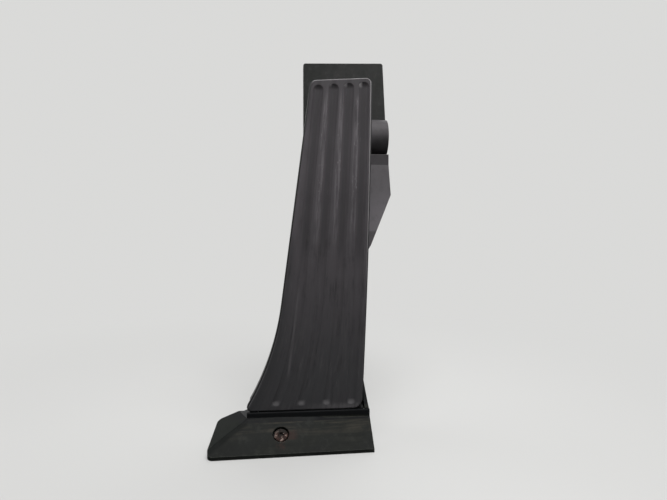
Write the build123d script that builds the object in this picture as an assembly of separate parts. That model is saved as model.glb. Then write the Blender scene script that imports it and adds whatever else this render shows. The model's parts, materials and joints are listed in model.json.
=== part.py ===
from build123d import *
import os
from math import asin, atan, cos, degrees, hypot, pi, radians, sin, sqrt, tan

# Floor hinged accelerator pedal in millimetres
# X points right, Y points back, Z points up; the foot stands on Z = 0

# Tread face
TREAD_LOW = 21.5
TREAD_BEND = 973.0
TREAD_TILT = -1.6
TREAD_T = 3.0
TREAD_TOP = 244.5
TREAD_SLANT = 3.0
TREAD_TOP_LEFT = -20.4
TREAD_TOP_RIGHT = 21.0
TREAD_LOW_LEFT = -65.0
TREAD_LOW_RIGHT = 11.3
TREAD_SIDE_LEAN = 7.65
FLARE_Z = 90.0
TREAD_CORNER_TOP = 3.5
TREAD_CORNER_RIGHT = 6.0
TREAD_CORNER_LEFT = 2.0
TREAD_EDGE_R = 0.9
FLUTES = 4
FLUTE_R = 5.0
FLUTE_DEPTH = 1.5
FLUTE_DEPTH_LOW = 0.8
FLUTE_END_TOP = 6.6
FLUTE_END_LOW = 5.7
FLUTE_TOP_MARGIN = 5.2
FLUTE_LOW_LEFT = 16.7
FLUTE_LOW_RIGHT = 7.1
FLUTE_SPANS = 4

# Pedal plate behind the tread
PLATE_T = 2.5
PLATE_RIM = 1.0
SKIRT_T = 2.0
SKIRT_H = 6.0
SKIRT_LOW = 27.0
RIB_T = 1.8
RIB_H = 5.0
RIB_STEP = 27.0
RIB_START = 8.0
RIB_LEFT = -33.9
HORN_DOWN = 33.0
HORN_UP = 27.0
TIE_DOWN = 20.0
TIE_SHORT = 14.0

# Hinge at the foot
HINGE_Y = 7.0
HINGE_Z = 18.5
HINGE_PIN_R = 2.0
BARREL_R = 3.8
RUN_CLEAR = 0.05
SIDE_CLEAR = 0.4
KNUCKLE_L = 5.5
KNUCKLE_X = -62.9
HINGE_ROOM = 0.8
WEB_LOW = 0.8
WEB_TOP = 3.0
WEB_TURN = 32.0
KNUCKLE_DOWN = 5.0
KNUCKLE_HALF = 3.0

# Foot
FOOT_RAMP = 37.5
FOOT_TURN = 1.5
FOOT_FRONT = -20.8
FOOT_LIP = 2.0
FOOT_RIGHT = 16.8
FOOT_LEFT = -87.4
FOOT_TAPER = 2.8
FOOT_BACK = 13.8
FOOT_CORNER = 3.5
FOOT_SKIN = 3.0
FOOT_REAR = 4.0
FOOT_RIB_STEP = 11.0
FOOT_RIB_RIGHT = 30.0
FOOT_HEEL = 0.8
FOOT_WALL = 2.5
FOOT_FLOOR = 18.0
LEDGE_Z = 17.5
LEDGE_SKIN = 6.3
FACET_TURN = 22.0
FACET_X = -64.3
FACET_LEAN = 9.5
LIP_T = 2.2
LIP_Z = 20.9
LIP_Y = -0.6
LIP_ROOT = 3.0
LIP_ROUND = 1.0

# Foot screw
SCREW_X = -42.1
SCREW_DOWN = 12.3
SCREW_R = 3.0
SHOULDER_R = 3.4
SCREW_HEAD_R = 4.5
SCREW_HEAD_H = 2.3
SCREW_ROUND = 0.7
SCREW_RECESS_R = 5.3
SCREW_SEAT = 2.2
SCREW_OUT = 4.6
SCREW_DRIVE_R = 2.0
SCREW_DRIVE_H = 1.4
BOSS_R = 8.0
BOSS_DEPTH = 5.0

# Spine and housing
SPINE_LOW_Y = 13.5
SPINE_LOW_Z = 22.0
SPINE_SKIN = 3.0
SPINE_FOOT = 8.0
SPINE_DEPTH = 22.0
SPINE_RIBS = (-45.0, -22.0, -4.0)
SPINE_RIB_START = 46.0
SPINE_RIB_STEP = 25.0
SPINE_RIB_ROWS = 3
SPINE_RIB_H = 12.0
SPINE_IN = 9.0
SPINE_STEPS = 4
REAR_UP = 10.0
REAR_H = 46.0
WALL = 2.5
BLOCK_DOWN = 15.0
BLOCK_FACE = 8.5
BLOCK_FRONT = 14.5
FRAME_LEFT = -23.3
BACK_Y = 107.0
BACK_T = 4.0
BACK_TOP = 282.0
BACK_SLANT = 2.0
BACK_H = 124.0
BACK_CORNER = 2.0
BACK_SPREAD = 2.8
SPREAD_DOWN = 50.0
CUT_STEP = 3.5
CUT_H = 39.5
CUT_IN = 18.3
WAIST_DOWN = 12.0
WAIST_OUT = 3.0
SIDE_OUT = 0.5
SIDE_Z = 60.0
SPINE_LEFT_IN = 1.0
BAY_HALF = 13.0
BAY_DOWN = 89.0
BAY_FLOOR = 8.0
POCKET_SKIN = 4.0
POCKET_ROOF = 6.0
LOW_POCKET_IN = 12.8
LOW_POCKET_FLOOR = 8.0
LOW_POCKET_ROOF = 6.0
GUSSET_T = 3.2
GUSSET_TOP = 39.0
GUSSET_LOW = 12.0
GUSSET_EDGE = 1.0
GUSSET_HALF = 4.0
GUSSET_NOSE = 1.0
GUSSET_NOSE_UP = 3.0
GUSSET_STEP_UP = 7.0

# Upper fixing
FIX_X = 9.0
FIX_STEP = 30.0
FIX_DOWN = 24.0
SLEEVE_R = 5.2
SLEEVE_BORE_R = 3.3
FIX_BOSS_R = 8.0
FIX_BOSS_H = 2.0

# Lever and its hub
HUB_OUT = 13.0
HUB_DOWN = 65.0
DRUM_R = 15.5
DRUM_BORE_R = 12.5
BRACKET_R = 11.0
BRACKET_T = 8.0
BRACKET_FRONT = 6.0
BRACKET_SHOULDER = 7.7
DRUM_SHOULDER = 10.9
HUB_R = 8.0
AXLE_R = 4.0
BUSH_T = 2.0
FLANGE_T = 1.0
FLANGE_R = 8.0
END_PLAY = 0.1
ARM_T = 9.0
ARM_TIP_R = 6.5
CRANK_FRONT = 45.0
CRANK_DOWN = 52.0
PRESS_MAX = 12.0
LEVER_RATIO = 2.14
CRANK_PIN_R = 2.5
GLIDE_R = 4.0
GLIDE_L = 5.0
GLIDE_GAP = 0.3
SLOT_CLEAR = 0.45
HORN_R = 8.6
CHEEK_T = 4.0
STOP_HORN_H = 24.0
STOP_HORN_T = 7.0
STOP_HORN_FLARE = 4.0
STOP_HORN_FOOT = 5.0
STOP_TOUCH = 0.05
POCKET_NEAR = 17.0
POCKET_FAR = 52.0
POCKET_NEAR_R = 5.0
POCKET_FAR_R = 3.6
POCKET_DEPTH = 2.7
PIN_END = 0.6
PIN_CHAMFER = 0.4

# Return springs
SPRING_R = 10.4
WIRE_R = 0.85
WIRE_FLATS = 8
SPRING_TURNS = 2
SPRING_PITCH = 2.2
REST_LEG = 16.0
LUG_LEG = 27.0
LUG_ALONG = 24.0
LUG_L = 6.0
LUG_ROOT = 4.0
SPRING_SIDE = 0.4
REST_LOW = 9.0
REST_H = 5.0

# Buffers
BUFFER_T = 4.0
BUFFER_W = 10.0
BUFFER_H = 8.0
FULL_GAP = 0.4
FULL_ALONG = 46.0
SEAT_MARGIN = 1.0

# Sensor on the right of the hub
CHAMBER_WALL = 4.0
CHAMBER_H = 30.0
SHELL_T = 2.9
LEDGE_W = 1.7
SEAL_T = 0.8
COVER_T = 2.2
COVER_FIT = 0.15
CARRIER_R = 7.5
CARRIER_L = 6.8
MAGNET_R = 5.0
MAGNET_T = 2.6
AIR_GAP = 0.6
CARRIER_GAP = 0.5
CUP_FLOOR = 0.4
CHAMBER_NECK = 3.0
CHIP_T = 1.2
CHIP_W = 4.5
CHIP_STEP = 5.4
BOARD_T = 1.6
BOARD_W = 17.0
BOARD_FIT = 0.4
BOARD_ROOM = 0.5
BOARD_LOW = 1.6
BOARD_TOP = 7.0
POST_R = 2.2
POST_SINK = 0.6
POST_EDGE = 2.4
POST_LOW = 16.0
POST_HIGH = 24.0
POST_ROOM = 0.3
SOCKET_W = 14.8
SOCKET_H = 12.8
SOCKET_WALL = 1.6
SOCKET_DEPTH = 15.0
SOCKET_EDGE = 2.0
TERMINAL_T = 0.9
TERMINAL_L = 9.0
TERMINAL_STEP = 4.4
TERMINAL_TAIL = 0.8
COVER_SCREW_R = 1.2
COVER_HEAD_R = 2.2
COVER_HEAD_H = 1.2
COVER_SCREW_L = 8.0
COVER_SCREW_ROOM = 1.0

# Reach of cutting shapes past the part
FAR = 2 * BACK_TOP

# Heights and depths that hang from the back plate
BACK_FRONT = BACK_Y - BACK_T
BACK_LOW = BACK_TOP - BACK_H
REAR_TOP = BACK_LOW + REAR_UP
REAR_LOW = REAR_TOP - REAR_H
HUB_Y = BACK_FRONT - HUB_OUT
HUB_Z = BACK_TOP - HUB_DOWN
CRANK_Y = HUB_Y - CRANK_FRONT
CRANK_Z = HUB_Z - CRANK_DOWN
BLOCK_TOP = HUB_Z - BLOCK_DOWN
SPINE_TOP_Y = HUB_Y - BLOCK_FRONT
SPINE_TOP_Z = BLOCK_TOP - BLOCK_FACE
CHAMBER_LOW = BLOCK_TOP - CHAMBER_H
CUT_TOP = CHAMBER_LOW - CUT_STEP
CUT_LOW = CUT_TOP - CUT_H
WAIST_Z = CUT_LOW - WAIST_DOWN
BAY_LOW = HUB_Z - BAY_DOWN

# Widths from the lever's bay out to the sensor's cover
CHAMBER_X = BAY_HALF + CHAMBER_WALL
CARRIER_X = CHAMBER_X + CARRIER_GAP
MAGNET_X = CARRIER_X + CARRIER_L - MAGNET_T
AXLE_RIGHT = MAGNET_X - CUP_FLOOR
CHIP_X = CARRIER_X + CARRIER_L + AIR_GAP
BOARD_X = CHIP_X + CHIP_T
SOCKET_X = BOARD_X + BOARD_T + BOARD_ROOM + SOCKET_WALL
FRAME_RIGHT = SOCKET_X + SOCKET_DEPTH
RECESS_X = FRAME_RIGHT - COVER_T - SEAL_T


def prism_yz(points, x0, x1):
    face = make_face(Polyline(*points, close=True))
    return extrude(Plane.YZ.offset(x0) * face, amount=x1 - x0)


def slab_yz(sketch, x0, x1):
    return extrude(Plane.YZ.offset(x0) * sketch, amount=x1 - x0)


def slab_xz(sketch, y0, y1):
    return extrude(Plane.XZ.offset(-y0) * sketch, amount=y0 - y1)


def block(x0, x1, y0, y1, z0, z1):
    centre = Pos((x0 + x1) / 2, (y0 + y1) / 2, (z0 + z1) / 2)
    return centre * Box(x1 - x0, y1 - y0, z1 - z0)


def rod(x0, x1, y, z, radius):
    return Pos((x0 + x1) / 2, y, z) * Rot(0, 90, 0) * Cylinder(radius, x1 - x0)


def above(origin, normal):
    return Plane(origin=origin, z_dir=normal) * Pos(0, 0, FAR / 2) * Box(2 * FAR, 2 * FAR, FAR)


# Shape of the tread face
TILT = radians(TREAD_TILT)


def bend_point(angle, depth):
    reach = TREAD_BEND - depth
    y = TREAD_BEND * cos(TILT) - reach * cos(angle)
    z = TREAD_LOW - TREAD_BEND * sin(TILT) + reach * sin(angle)
    return (y, z)


def bend_angle(z):
    return asin((z - TREAD_LOW) / TREAD_BEND + sin(TILT))


def tread_band(depth0, depth1):
    spare = 2 * SKIRT_H
    low = bend_angle(TREAD_LOW - spare)
    mid = bend_angle(TREAD_TOP / 2)
    top = bend_angle(TREAD_TOP + spare)
    front = ThreePointArc(bend_point(low, depth0), bend_point(mid, depth0), bend_point(top, depth0))
    back = ThreePointArc(bend_point(top, depth1), bend_point(mid, depth1), bend_point(low, depth1))
    ends = Line(front @ 1, back @ 0) + Line(back @ 1, front @ 0)
    return slab_yz(make_face(front + back + ends), -FAR, FAR)


# Left side of the tread: a leaning line down to the flare, then an arc about a centre further left
LEAN = radians(TREAD_SIDE_LEAN)
TOP_LEFT_Z = TREAD_TOP - TREAD_SLANT / 2
FLARE_X = TREAD_TOP_LEFT - (TOP_LEFT_Z - FLARE_Z) * tan(LEAN)
FLARE_DX = TREAD_LOW_LEFT - FLARE_X
FLARE_DZ = TREAD_LOW - FLARE_Z
FLARE_R = (FLARE_DX**2 + FLARE_DZ**2) / (2 * (FLARE_DZ * sin(LEAN) - FLARE_DX * cos(LEAN)))


def side_left(z):
    if z > FLARE_Z:
        return FLARE_X + (z - FLARE_Z) * tan(LEAN)
    rise = z - FLARE_Z - FLARE_R * sin(LEAN)
    return FLARE_X - FLARE_R * cos(LEAN) + sqrt(FLARE_R**2 - rise**2)


def side_right(z):
    share = (z - TREAD_LOW) / (TREAD_TOP - TREAD_LOW)
    return TREAD_LOW_RIGHT + share * (TREAD_TOP_RIGHT - TREAD_LOW_RIGHT)


def tread_outline():
    top_left = (TREAD_TOP_LEFT, TOP_LEFT_Z)
    top_right = (TREAD_TOP_RIGHT, TREAD_TOP + TREAD_SLANT / 2)
    low_right = (TREAD_LOW_RIGHT, TREAD_LOW)
    low_left = (TREAD_LOW_LEFT, TREAD_LOW)
    flare = (FLARE_X, FLARE_Z)
    side = Line(top_left, flare)
    curve = TangentArc(flare, low_left, tangent=side % 1)
    rest = Polyline(low_left, low_right, top_right, top_left)
    face = make_face(side + curve + rest)
    low = face.vertices().group_by(Axis.Y)[0].sort_by(Axis.X)
    face = fillet(low[0], TREAD_CORNER_LEFT)
    low = face.vertices().group_by(Axis.Y)[0].sort_by(Axis.X)
    face = fillet(low[-1], TREAD_CORNER_RIGHT)
    top = face.vertices().sort_by(Axis.Y)[-2:]
    return fillet(top, TREAD_CORNER_TOP)


OUTLINE = tread_outline()
TREAD_BLANK = slab_xz(OUTLINE, -FAR, FAR) & tread_band(0, TREAD_T)


# Tread pad
def across(z, share, left, right):
    width = side_right(z) - side_left(z)
    return (left + share * (width - left - right)) / width


def flute(share):
    z_top = TREAD_TOP + TREAD_SLANT * (share - 0.5) - FLUTE_END_TOP
    z_low = TREAD_LOW + FLUTE_END_LOW
    top = across(z_top, share, FLUTE_TOP_MARGIN, FLUTE_TOP_MARGIN)
    low = across(z_low, share, FLUTE_LOW_LEFT, FLUTE_LOW_RIGHT)
    points = []
    for step in range(FLUTE_SPANS + 1):
        part = step / FLUTE_SPANS
        z = z_low + (z_top - z_low) * part
        x = side_left(z) + (low + (top - low) * part) * (side_right(z) - side_left(z))
        depth = FLUTE_DEPTH_LOW + (FLUTE_DEPTH - FLUTE_DEPTH_LOW) * part
        points.append((x, *bend_point(bend_angle(z), depth - FLUTE_R)))
    path = Spline(*points)
    section = Plane(origin=path @ 0, z_dir=path % 0) * Circle(FLUTE_R)
    ends = Pos(path @ 0) * Sphere(FLUTE_R) + Pos(path @ 1) * Sphere(FLUTE_R)
    return sweep(section, path=path) + ends


def make_tread():
    front = TREAD_BLANK.faces().sort_by(SortBy.AREA)[-2:].sort_by(Axis.Y)[0]
    pad = fillet(front.edges(), TREAD_EDGE_R)
    for number in range(FLUTES):
        pad -= flute(number / (FLUTES - 1))
    return pad


# Path of the crank pin seen from the pedal plate
def turned(point, centre, angle):
    y = point[0] - centre[0]
    z = point[1] - centre[1]
    a = radians(angle)
    return (centre[0] + y * cos(a) - z * sin(a), centre[1] + y * sin(a) + z * cos(a))


HINGE = (HINGE_Y, HINGE_Z)
HUB = (HUB_Y, HUB_Z)
CRANK = (CRANK_Y, CRANK_Z)


def crank_in_plate(press):
    return turned(turned(CRANK, HUB, press * LEVER_RATIO), HINGE, press)


def far_from_crank(point):
    return hypot(point[0] - CRANK_Y, point[1] - CRANK_Z)


SLOT_END = max([crank_in_plate(PRESS_MAX * step / 12) for step in range(13)], key=far_from_crank)
ARM_HALF = ARM_T / 2
CHEEK_IN = ARM_HALF + GLIDE_GAP + (GLIDE_L - CHEEK_T) / 2


def slot_shape(radius):
    ends = Pos(*CRANK) * Circle(radius) + Pos(*SLOT_END) * Circle(radius)
    return make_hull(ends.edges())


# Pedal plate
BARREL_LEFT = KNUCKLE_X + KNUCKLE_L + SIDE_CLEAR
GUSSET_X = TREAD_LOW_RIGHT + PLATE_RIM + 3 * SIDE_CLEAR
BARREL_RIGHT = GUSSET_X - SIDE_CLEAR
PLATE_BACK = TREAD_T + PLATE_T


def make_plate():
    rim = offset(OUTLINE, PLATE_RIM)
    shape = slab_xz(rim, -FAR, FAR)
    hollow = slab_xz(offset(rim, -SKIRT_T), -FAR, FAR)
    plate = shape & tread_band(TREAD_T, PLATE_BACK)
    upper = block(-FAR, FAR, -FAR, FAR, SKIRT_LOW, FAR)
    skirt = (shape - hollow) & tread_band(PLATE_BACK, PLATE_BACK + SKIRT_H) & upper
    bars = []
    for x in (-CHEEK_IN - CHEEK_T, CHEEK_IN, RIB_LEFT):
        bars.append(block(x, x + RIB_T, -FAR, FAR, SKIRT_LOW, FAR))
    rows = int((TREAD_TOP - SKIRT_LOW - RIB_START) / RIB_STEP) + 1
    for number in range(rows):
        z = SKIRT_LOW + RIB_START + number * RIB_STEP
        bars.append(block(-FAR, FAR, -FAR, FAR, z, z + RIB_T))
    ribs = Part() + bars
    ribs = ribs & hollow & tread_band(PLATE_BACK, PLATE_BACK + RIB_H)
    base_low = bend_point(bend_angle(CRANK_Z - HORN_DOWN), PLATE_BACK)
    base_top = bend_point(bend_angle(CRANK_Z + HORN_UP), PLATE_BACK)
    ends = Pos(*CRANK) * Circle(HORN_R) + Pos(*SLOT_END) * Circle(HORN_R)
    profile = make_hull(ends.edges() + Line(base_low, base_top).edges())
    slot = slab_yz(slot_shape(GLIDE_R + SLOT_CLEAR), -FAR, FAR)
    horn = slab_yz(profile, CHEEK_IN, CHEEK_IN + CHEEK_T)
    horn += slab_yz(profile, -CHEEK_IN - CHEEK_T, -CHEEK_IN)
    tie_z = CRANK_Z - TIE_DOWN
    tie_y = bend_point(bend_angle(tie_z), PLATE_BACK)[0]
    tie = block(-CHEEK_IN, CHEEK_IN, tie_y, CRANK_Y - TIE_SHORT, tie_z, tie_z + RIB_T)
    barrel = rod(BARREL_LEFT, BARREL_RIGHT, *HINGE, BARREL_R)
    top = SKIRT_LOW + WEB_TOP
    web = [(TREAD_T, TREAD_LOW - WEB_LOW), (TREAD_T, top), (PLATE_BACK, top)]
    web += [turned((HINGE_Y + BARREL_R, HINGE_Z), HINGE, WEB_TURN), HINGE]
    barrel += prism_yz(web, BARREL_LEFT, TREAD_LOW_RIGHT)
    plate = plate + skirt + ribs + horn + tie + barrel
    plate -= slot
    plate -= TREAD_BLANK
    plate -= rod(-FAR, BARREL_LEFT, *HINGE, BARREL_R + HINGE_ROOM)
    plate -= rod(BARREL_LEFT - 1, BARREL_RIGHT + 1, *HINGE, HINGE_PIN_R + RUN_CLEAR)
    return plate


# Foot volume under its three top faces
RAMP = radians(FOOT_RAMP)
FOOT_SKEW = tan(radians(FOOT_TURN))


def slope_up(angle):
    return tuple(Vector(tan(angle) * FOOT_SKEW, -tan(angle), 1).normalized())


RAMP_UP = slope_up(RAMP)
RAMP_POINT = (SCREW_X, FOOT_FRONT, FOOT_LIP)
RAMP_TOP_Y = FOOT_FRONT + (LEDGE_Z - FOOT_LIP) / tan(RAMP)
FACET_UP = (-sin(radians(FACET_TURN)), -sin(radians(FACET_LEAN)), cos(radians(FACET_TURN)))
FACET_POINT = (FACET_X, RAMP_TOP_Y, LEDGE_Z)
FLOOR_UP = slope_up(radians(FOOT_FLOOR))
FLOOR_POINT = (SCREW_X, FOOT_FRONT + FOOT_HEEL, 0)


def foot_front(x):
    return (x, FOOT_FRONT + (x - SCREW_X) * FOOT_SKEW)


def foot_outline():
    points = [foot_front(FOOT_RIGHT), (FOOT_RIGHT, SPINE_LOW_Y + FOOT_REAR)]
    points += [(FACET_X, SPINE_LOW_Y + FOOT_REAR), (FACET_X - FOOT_SKIN, FOOT_BACK)]
    points += [(FOOT_LEFT + FOOT_TAPER, FOOT_BACK), foot_front(FOOT_LEFT)]
    face = make_face(Polyline(*points, close=True))
    return fillet(face.vertices().sort_by(Axis.X)[:2], FOOT_CORNER)


def foot_volume(shape, top, drop):
    body = Pos(0, 0, top - FAR) * extrude(shape, amount=FAR)
    for point, up in ((RAMP_POINT, RAMP_UP), (FACET_POINT, FACET_UP)):
        lowered = tuple(p - drop * u for p, u in zip(point, up))
        body -= above(lowered, up)
    return body


# Foot screw places, along the line square to the ramp
SCREW_Y = RAMP_TOP_Y - SCREW_DOWN * cos(RAMP)
SCREW_Z = LEDGE_Z - SCREW_DOWN * sin(RAMP)
SCREW_TOP = Plane(origin=(SCREW_X, SCREW_Y, SCREW_Z), z_dir=RAMP_UP)


def screw_rod(low, high, radius):
    return SCREW_TOP * Pos(0, 0, (low + high) / 2) * Cylinder(radius, high - low)


SEAT_LEVEL = SCREW_SEAT - BOSS_DEPTH


# Spine shape
SPINE_SLOPE = (SPINE_TOP_Y - SPINE_LOW_Y) / (SPINE_TOP_Z - SPINE_LOW_Z)
SPINE_LEAN = atan(SPINE_SLOPE)


def spine_y(z):
    return SPINE_LOW_Y + (z - SPINE_LOW_Z) * SPINE_SLOPE


def spine_outline():
    points = [(FRAME_LEFT, BLOCK_TOP), (FRAME_RIGHT, BLOCK_TOP), (FRAME_RIGHT, CUT_TOP)]
    points += [(FRAME_RIGHT - CUT_IN, CUT_LOW), (side_right(WAIST_Z) + WAIST_OUT, WAIST_Z)]
    points.append((side_right(SIDE_Z) + SIDE_OUT, SIDE_Z))
    points += [(GUSSET_X + GUSSET_T, SPINE_FOOT), (KNUCKLE_X + SPINE_LEFT_IN, SPINE_FOOT)]
    for step in range(SPINE_STEPS):
        z = SPINE_LOW_Z + (BAY_LOW - SPINE_LOW_Z) * step / SPINE_STEPS
        points.append((side_left(z) + SPINE_IN, z))
    points.append((FRAME_LEFT, BAY_LOW))
    return make_face(Polyline(*points, close=True))


def spine_side():
    low = SPINE_FOOT
    rear = BACK_FRONT + 1
    points = [(spine_y(low), low), (SPINE_TOP_Y, SPINE_TOP_Z), (SPINE_TOP_Y, BLOCK_TOP)]
    points += [(rear, BLOCK_TOP), (rear, REAR_TOP), (spine_y(REAR_LOW) + SPINE_DEPTH, REAR_LOW)]
    return points + [(spine_y(low) + SPINE_DEPTH, low)]


# Sensor chamber shape in the Y and Z plane
def chamber_sketch():
    top = BLOCK_TOP - SHELL_T
    inner_y = HUB_Y - CHAMBER_NECK
    front_low = (spine_y(CHAMBER_LOW) + SHELL_T / cos(SPINE_LEAN), CHAMBER_LOW)
    rear_low = (BACK_FRONT - SHELL_T, CHAMBER_LOW)
    points = [(SPINE_TOP_Y + SHELL_T, top), (SPINE_TOP_Y + SHELL_T, SPINE_TOP_Z), front_low, rear_low]
    points += [(BACK_FRONT - SHELL_T, HUB_Z), (inner_y, HUB_Z), (inner_y, top)]
    return make_face(Polyline(*points, close=True)) + Pos(*HUB) * Circle(DRUM_BORE_R)


CHAMBER = chamber_sketch()
CHAMBER_RIM = offset(CHAMBER, LEDGE_W)
SOCKET_Y = BACK_FRONT - SHELL_T - SOCKET_EDGE - SOCKET_WALL - SOCKET_W / 2
SOCKET_Z = CHAMBER_LOW + SOCKET_EDGE + SOCKET_WALL + SOCKET_H / 2
POST_IN = POST_R - POST_SINK
COVER_SCREWS = [(HUB_Y, HUB_Z + DRUM_BORE_R - POST_IN), (SPINE_TOP_Y + SHELL_T + POST_IN, SPINE_TOP_Z)]
POST_SPAN = BOARD_W / 2 - POST_EDGE
POSTS = [(SOCKET_Y - POST_SPAN, CHAMBER_LOW + POST_LOW), (SOCKET_Y + POST_SPAN, CHAMBER_LOW + POST_HIGH)]


# Frame
def hub_housing():
    drum = rod(BAY_HALF, FRAME_RIGHT, *HUB, DRUM_R)
    drum += block(BAY_HALF, FRAME_RIGHT, HUB_Y, BACK_FRONT + 1, BLOCK_TOP - 1, HUB_Z + DRUM_SHOULDER)
    left = -BAY_HALF - BRACKET_T
    bracket = rod(left, -BAY_HALF, *HUB, BRACKET_R)
    front = HUB_Y - BRACKET_FRONT
    bracket += block(left, -BAY_HALF, front, BACK_FRONT + 1, BLOCK_TOP - 1, HUB_Z + BRACKET_SHOULDER)
    return drum + bracket


def make_frame():
    outline = spine_outline()
    spine = slab_xz(outline, -FAR, FAR) & prism_yz(spine_side(), -FAR, FAR)
    inner = slab_xz(offset(outline, -WALL), -FAR, FAR)
    hollow = [(spine_y(0) + SPINE_SKIN, 0), (spine_y(BAY_LOW) + SPINE_SKIN, BAY_LOW)]
    hollow += [(FAR, BAY_LOW), (FAR, 0)]
    inner = inner & prism_yz(hollow, -FAR, FAR)
    inner = inner & block(-FAR, FAR, -FAR, FAR, SPINE_FOOT + WALL, BAY_LOW - BAY_FLOOR)
    for x in SPINE_RIBS:
        inner -= block(x, x + WALL, -FAR, FAR, 0, BAY_LOW)
    for number in range(SPINE_RIB_ROWS):
        z = SPINE_RIB_START + SPINE_RIB_STEP * number
        inner -= block(-FAR, FAR, -FAR, spine_y(z) + SPINE_RIB_H, z, z + RIB_T)
    spine -= inner
    wide = FRAME_RIGHT + BACK_SPREAD
    panel = [(FRAME_LEFT, BACK_LOW), (wide, BACK_LOW), (wide, BACK_TOP - SPREAD_DOWN)]
    panel += [(FRAME_RIGHT, BACK_TOP + BACK_SLANT), (FRAME_LEFT, BACK_TOP)]
    panel = make_face(Polyline(*panel, close=True))
    panel = fillet(panel.vertices().sort_by(Axis.Y)[-2:], BACK_CORNER)
    plate = slab_xz(panel, BACK_FRONT, BACK_Y)
    housing = hub_housing()
    bay = block(-BAY_HALF, BAY_HALF, -FAR, BACK_FRONT, BAY_LOW, FAR)
    body = spine + housing - bay + plate
    pocket_front = SPINE_TOP_Y + POCKET_SKIN
    pocket_right = -BAY_HALF - WALL
    pocket_top = BLOCK_TOP - POCKET_ROOF
    body -= block(FRAME_LEFT + WALL, pocket_right, pocket_front, FAR, CHAMBER_LOW, pocket_top)
    roof = CHAMBER_LOW - LOW_POCKET_ROOF
    low_front = spine_y(roof) + POCKET_SKIN
    low_right = FRAME_RIGHT - LOW_POCKET_IN
    low_pocket = block(BAY_HALF + WALL, low_right, low_front, FAR, BAY_LOW + LOW_POCKET_FLOOR, roof)
    body -= low_pocket & slab_xz(offset(outline, -WALL), -FAR, FAR)
    body -= slab_yz(CHAMBER, CHAMBER_X, FRAME_RIGHT + 1)
    body -= slab_yz(CHAMBER_RIM, RECESS_X, FRAME_RIGHT + 1)
    for place in COVER_SCREWS:
        post = rod(CHAMBER_X, RECESS_X, *place, POST_R)
        body += post - rod(RECESS_X + COVER_T - COVER_SCREW_L, RECESS_X, *place, COVER_SCREW_R)
    for place in POSTS:
        body += rod(CHAMBER_X - 0.5, BOARD_X, *place, POST_R)
    hole = AXLE_R + BUSH_T
    body -= rod(-BAY_HALF - BRACKET_T - 1, -BAY_HALF + 1, *HUB, hole)
    body -= rod(BAY_HALF - 1, CHAMBER_X + 1, *HUB, hole)
    body += make_foot()
    body += stops()
    for side in (-0.5, 0.5):
        x = FIX_X + side * FIX_STEP
        z = BACK_TOP - FIX_DOWN
        place = Pos(x, 0, z) * Rot(90, 0, 0)
        body += Pos(0, BACK_FRONT - FIX_BOSS_H / 2, 0) * place * Cylinder(FIX_BOSS_R, FIX_BOSS_H)
        body -= Pos(0, BACK_FRONT, 0) * place * Cylinder(SLEEVE_R, FAR)
    return body


def make_foot():
    outline = foot_outline()
    foot = foot_volume(outline, LEDGE_Z, 0)
    pocket = foot_volume(offset(outline, -FOOT_WALL), LEDGE_Z - LEDGE_SKIN, FOOT_SKIN)
    ribs = (FACET_X, SCREW_X - FOOT_RIB_STEP, SCREW_X + FOOT_RIB_STEP - WALL, FOOT_RIGHT - FOOT_RIB_RIGHT)
    for x in ribs:
        pocket -= block(x, x + WALL, -FAR, FAR, -FAR, FAR)
    foot -= pocket
    foot -= above(FLOOR_POINT, tuple(-u for u in FLOOR_UP))
    foot += screw_rod(-BOSS_DEPTH, -0.5, BOSS_R)
    foot -= screw_rod(-FAR, FAR, SHOULDER_R)
    foot -= screw_rod(SEAT_LEVEL, FAR, SCREW_RECESS_R)
    lip = block(FACET_X, FOOT_RIGHT, LIP_Y, LIP_Y + LIP_T, LEDGE_Z - LIP_ROOT, LIP_Z)
    lip = fillet(lip.edges().filter_by(Axis.X).group_by(Axis.Z)[-1], LIP_ROUND)
    trough = [(LIP_Y + LIP_T, GUSSET_TOP), (LIP_Y + LIP_T, HINGE_Z)]
    trough += [(spine_y(HINGE_Z), HINGE_Z), (spine_y(GUSSET_TOP), GUSSET_TOP)]
    room = rod(KNUCKLE_X - SIDE_CLEAR, GUSSET_X, *HINGE, BARREL_R + HINGE_ROOM)
    room += prism_yz(trough, KNUCKLE_X - SIDE_CLEAR, GUSSET_X)
    foot = foot - room + lip
    knuckle = rod(KNUCKLE_X, KNUCKLE_X + KNUCKLE_L, *HINGE, BARREL_R)
    front = HINGE_Y - KNUCKLE_HALF
    back = HINGE_Y + KNUCKLE_HALF
    knuckle += block(KNUCKLE_X, KNUCKLE_X + KNUCKLE_L, front, back, LEDGE_Z - KNUCKLE_DOWN, HINGE_Z)
    outer = GUSSET_X + GUSSET_T
    front = [(GUSSET_X, GUSSET_LOW), (outer, GUSSET_LOW), (outer, HINGE_Z)]
    front += [(GUSSET_X + GUSSET_EDGE, GUSSET_TOP), (GUSSET_X, GUSSET_TOP)]
    nose = LIP_Y + GUSSET_NOSE
    top_y = spine_y(GUSSET_TOP)
    side = [(nose, GUSSET_LOW), (nose, HINGE_Z + GUSSET_NOSE_UP)]
    side.append((HINGE_Y - HINGE_PIN_R, HINGE_Z + GUSSET_STEP_UP))
    side += [(top_y - GUSSET_HALF, GUSSET_TOP), (top_y + GUSSET_HALF, GUSSET_TOP)]
    side.append((spine_y(GUSSET_LOW) + 2 * GUSSET_HALF, GUSSET_LOW))
    gusset = slab_xz(make_face(Polyline(*front, close=True)), -FAR, FAR) & prism_yz(side, -FAR, FAR)
    foot = foot + knuckle + gusset
    foot -= rod(KNUCKLE_X - 1, KNUCKLE_X + KNUCKLE_L + 1, *HINGE, HINGE_PIN_R)
    foot -= rod(GUSSET_X - 1, outer + 1, *HINGE, HINGE_PIN_R)
    return foot


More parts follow.
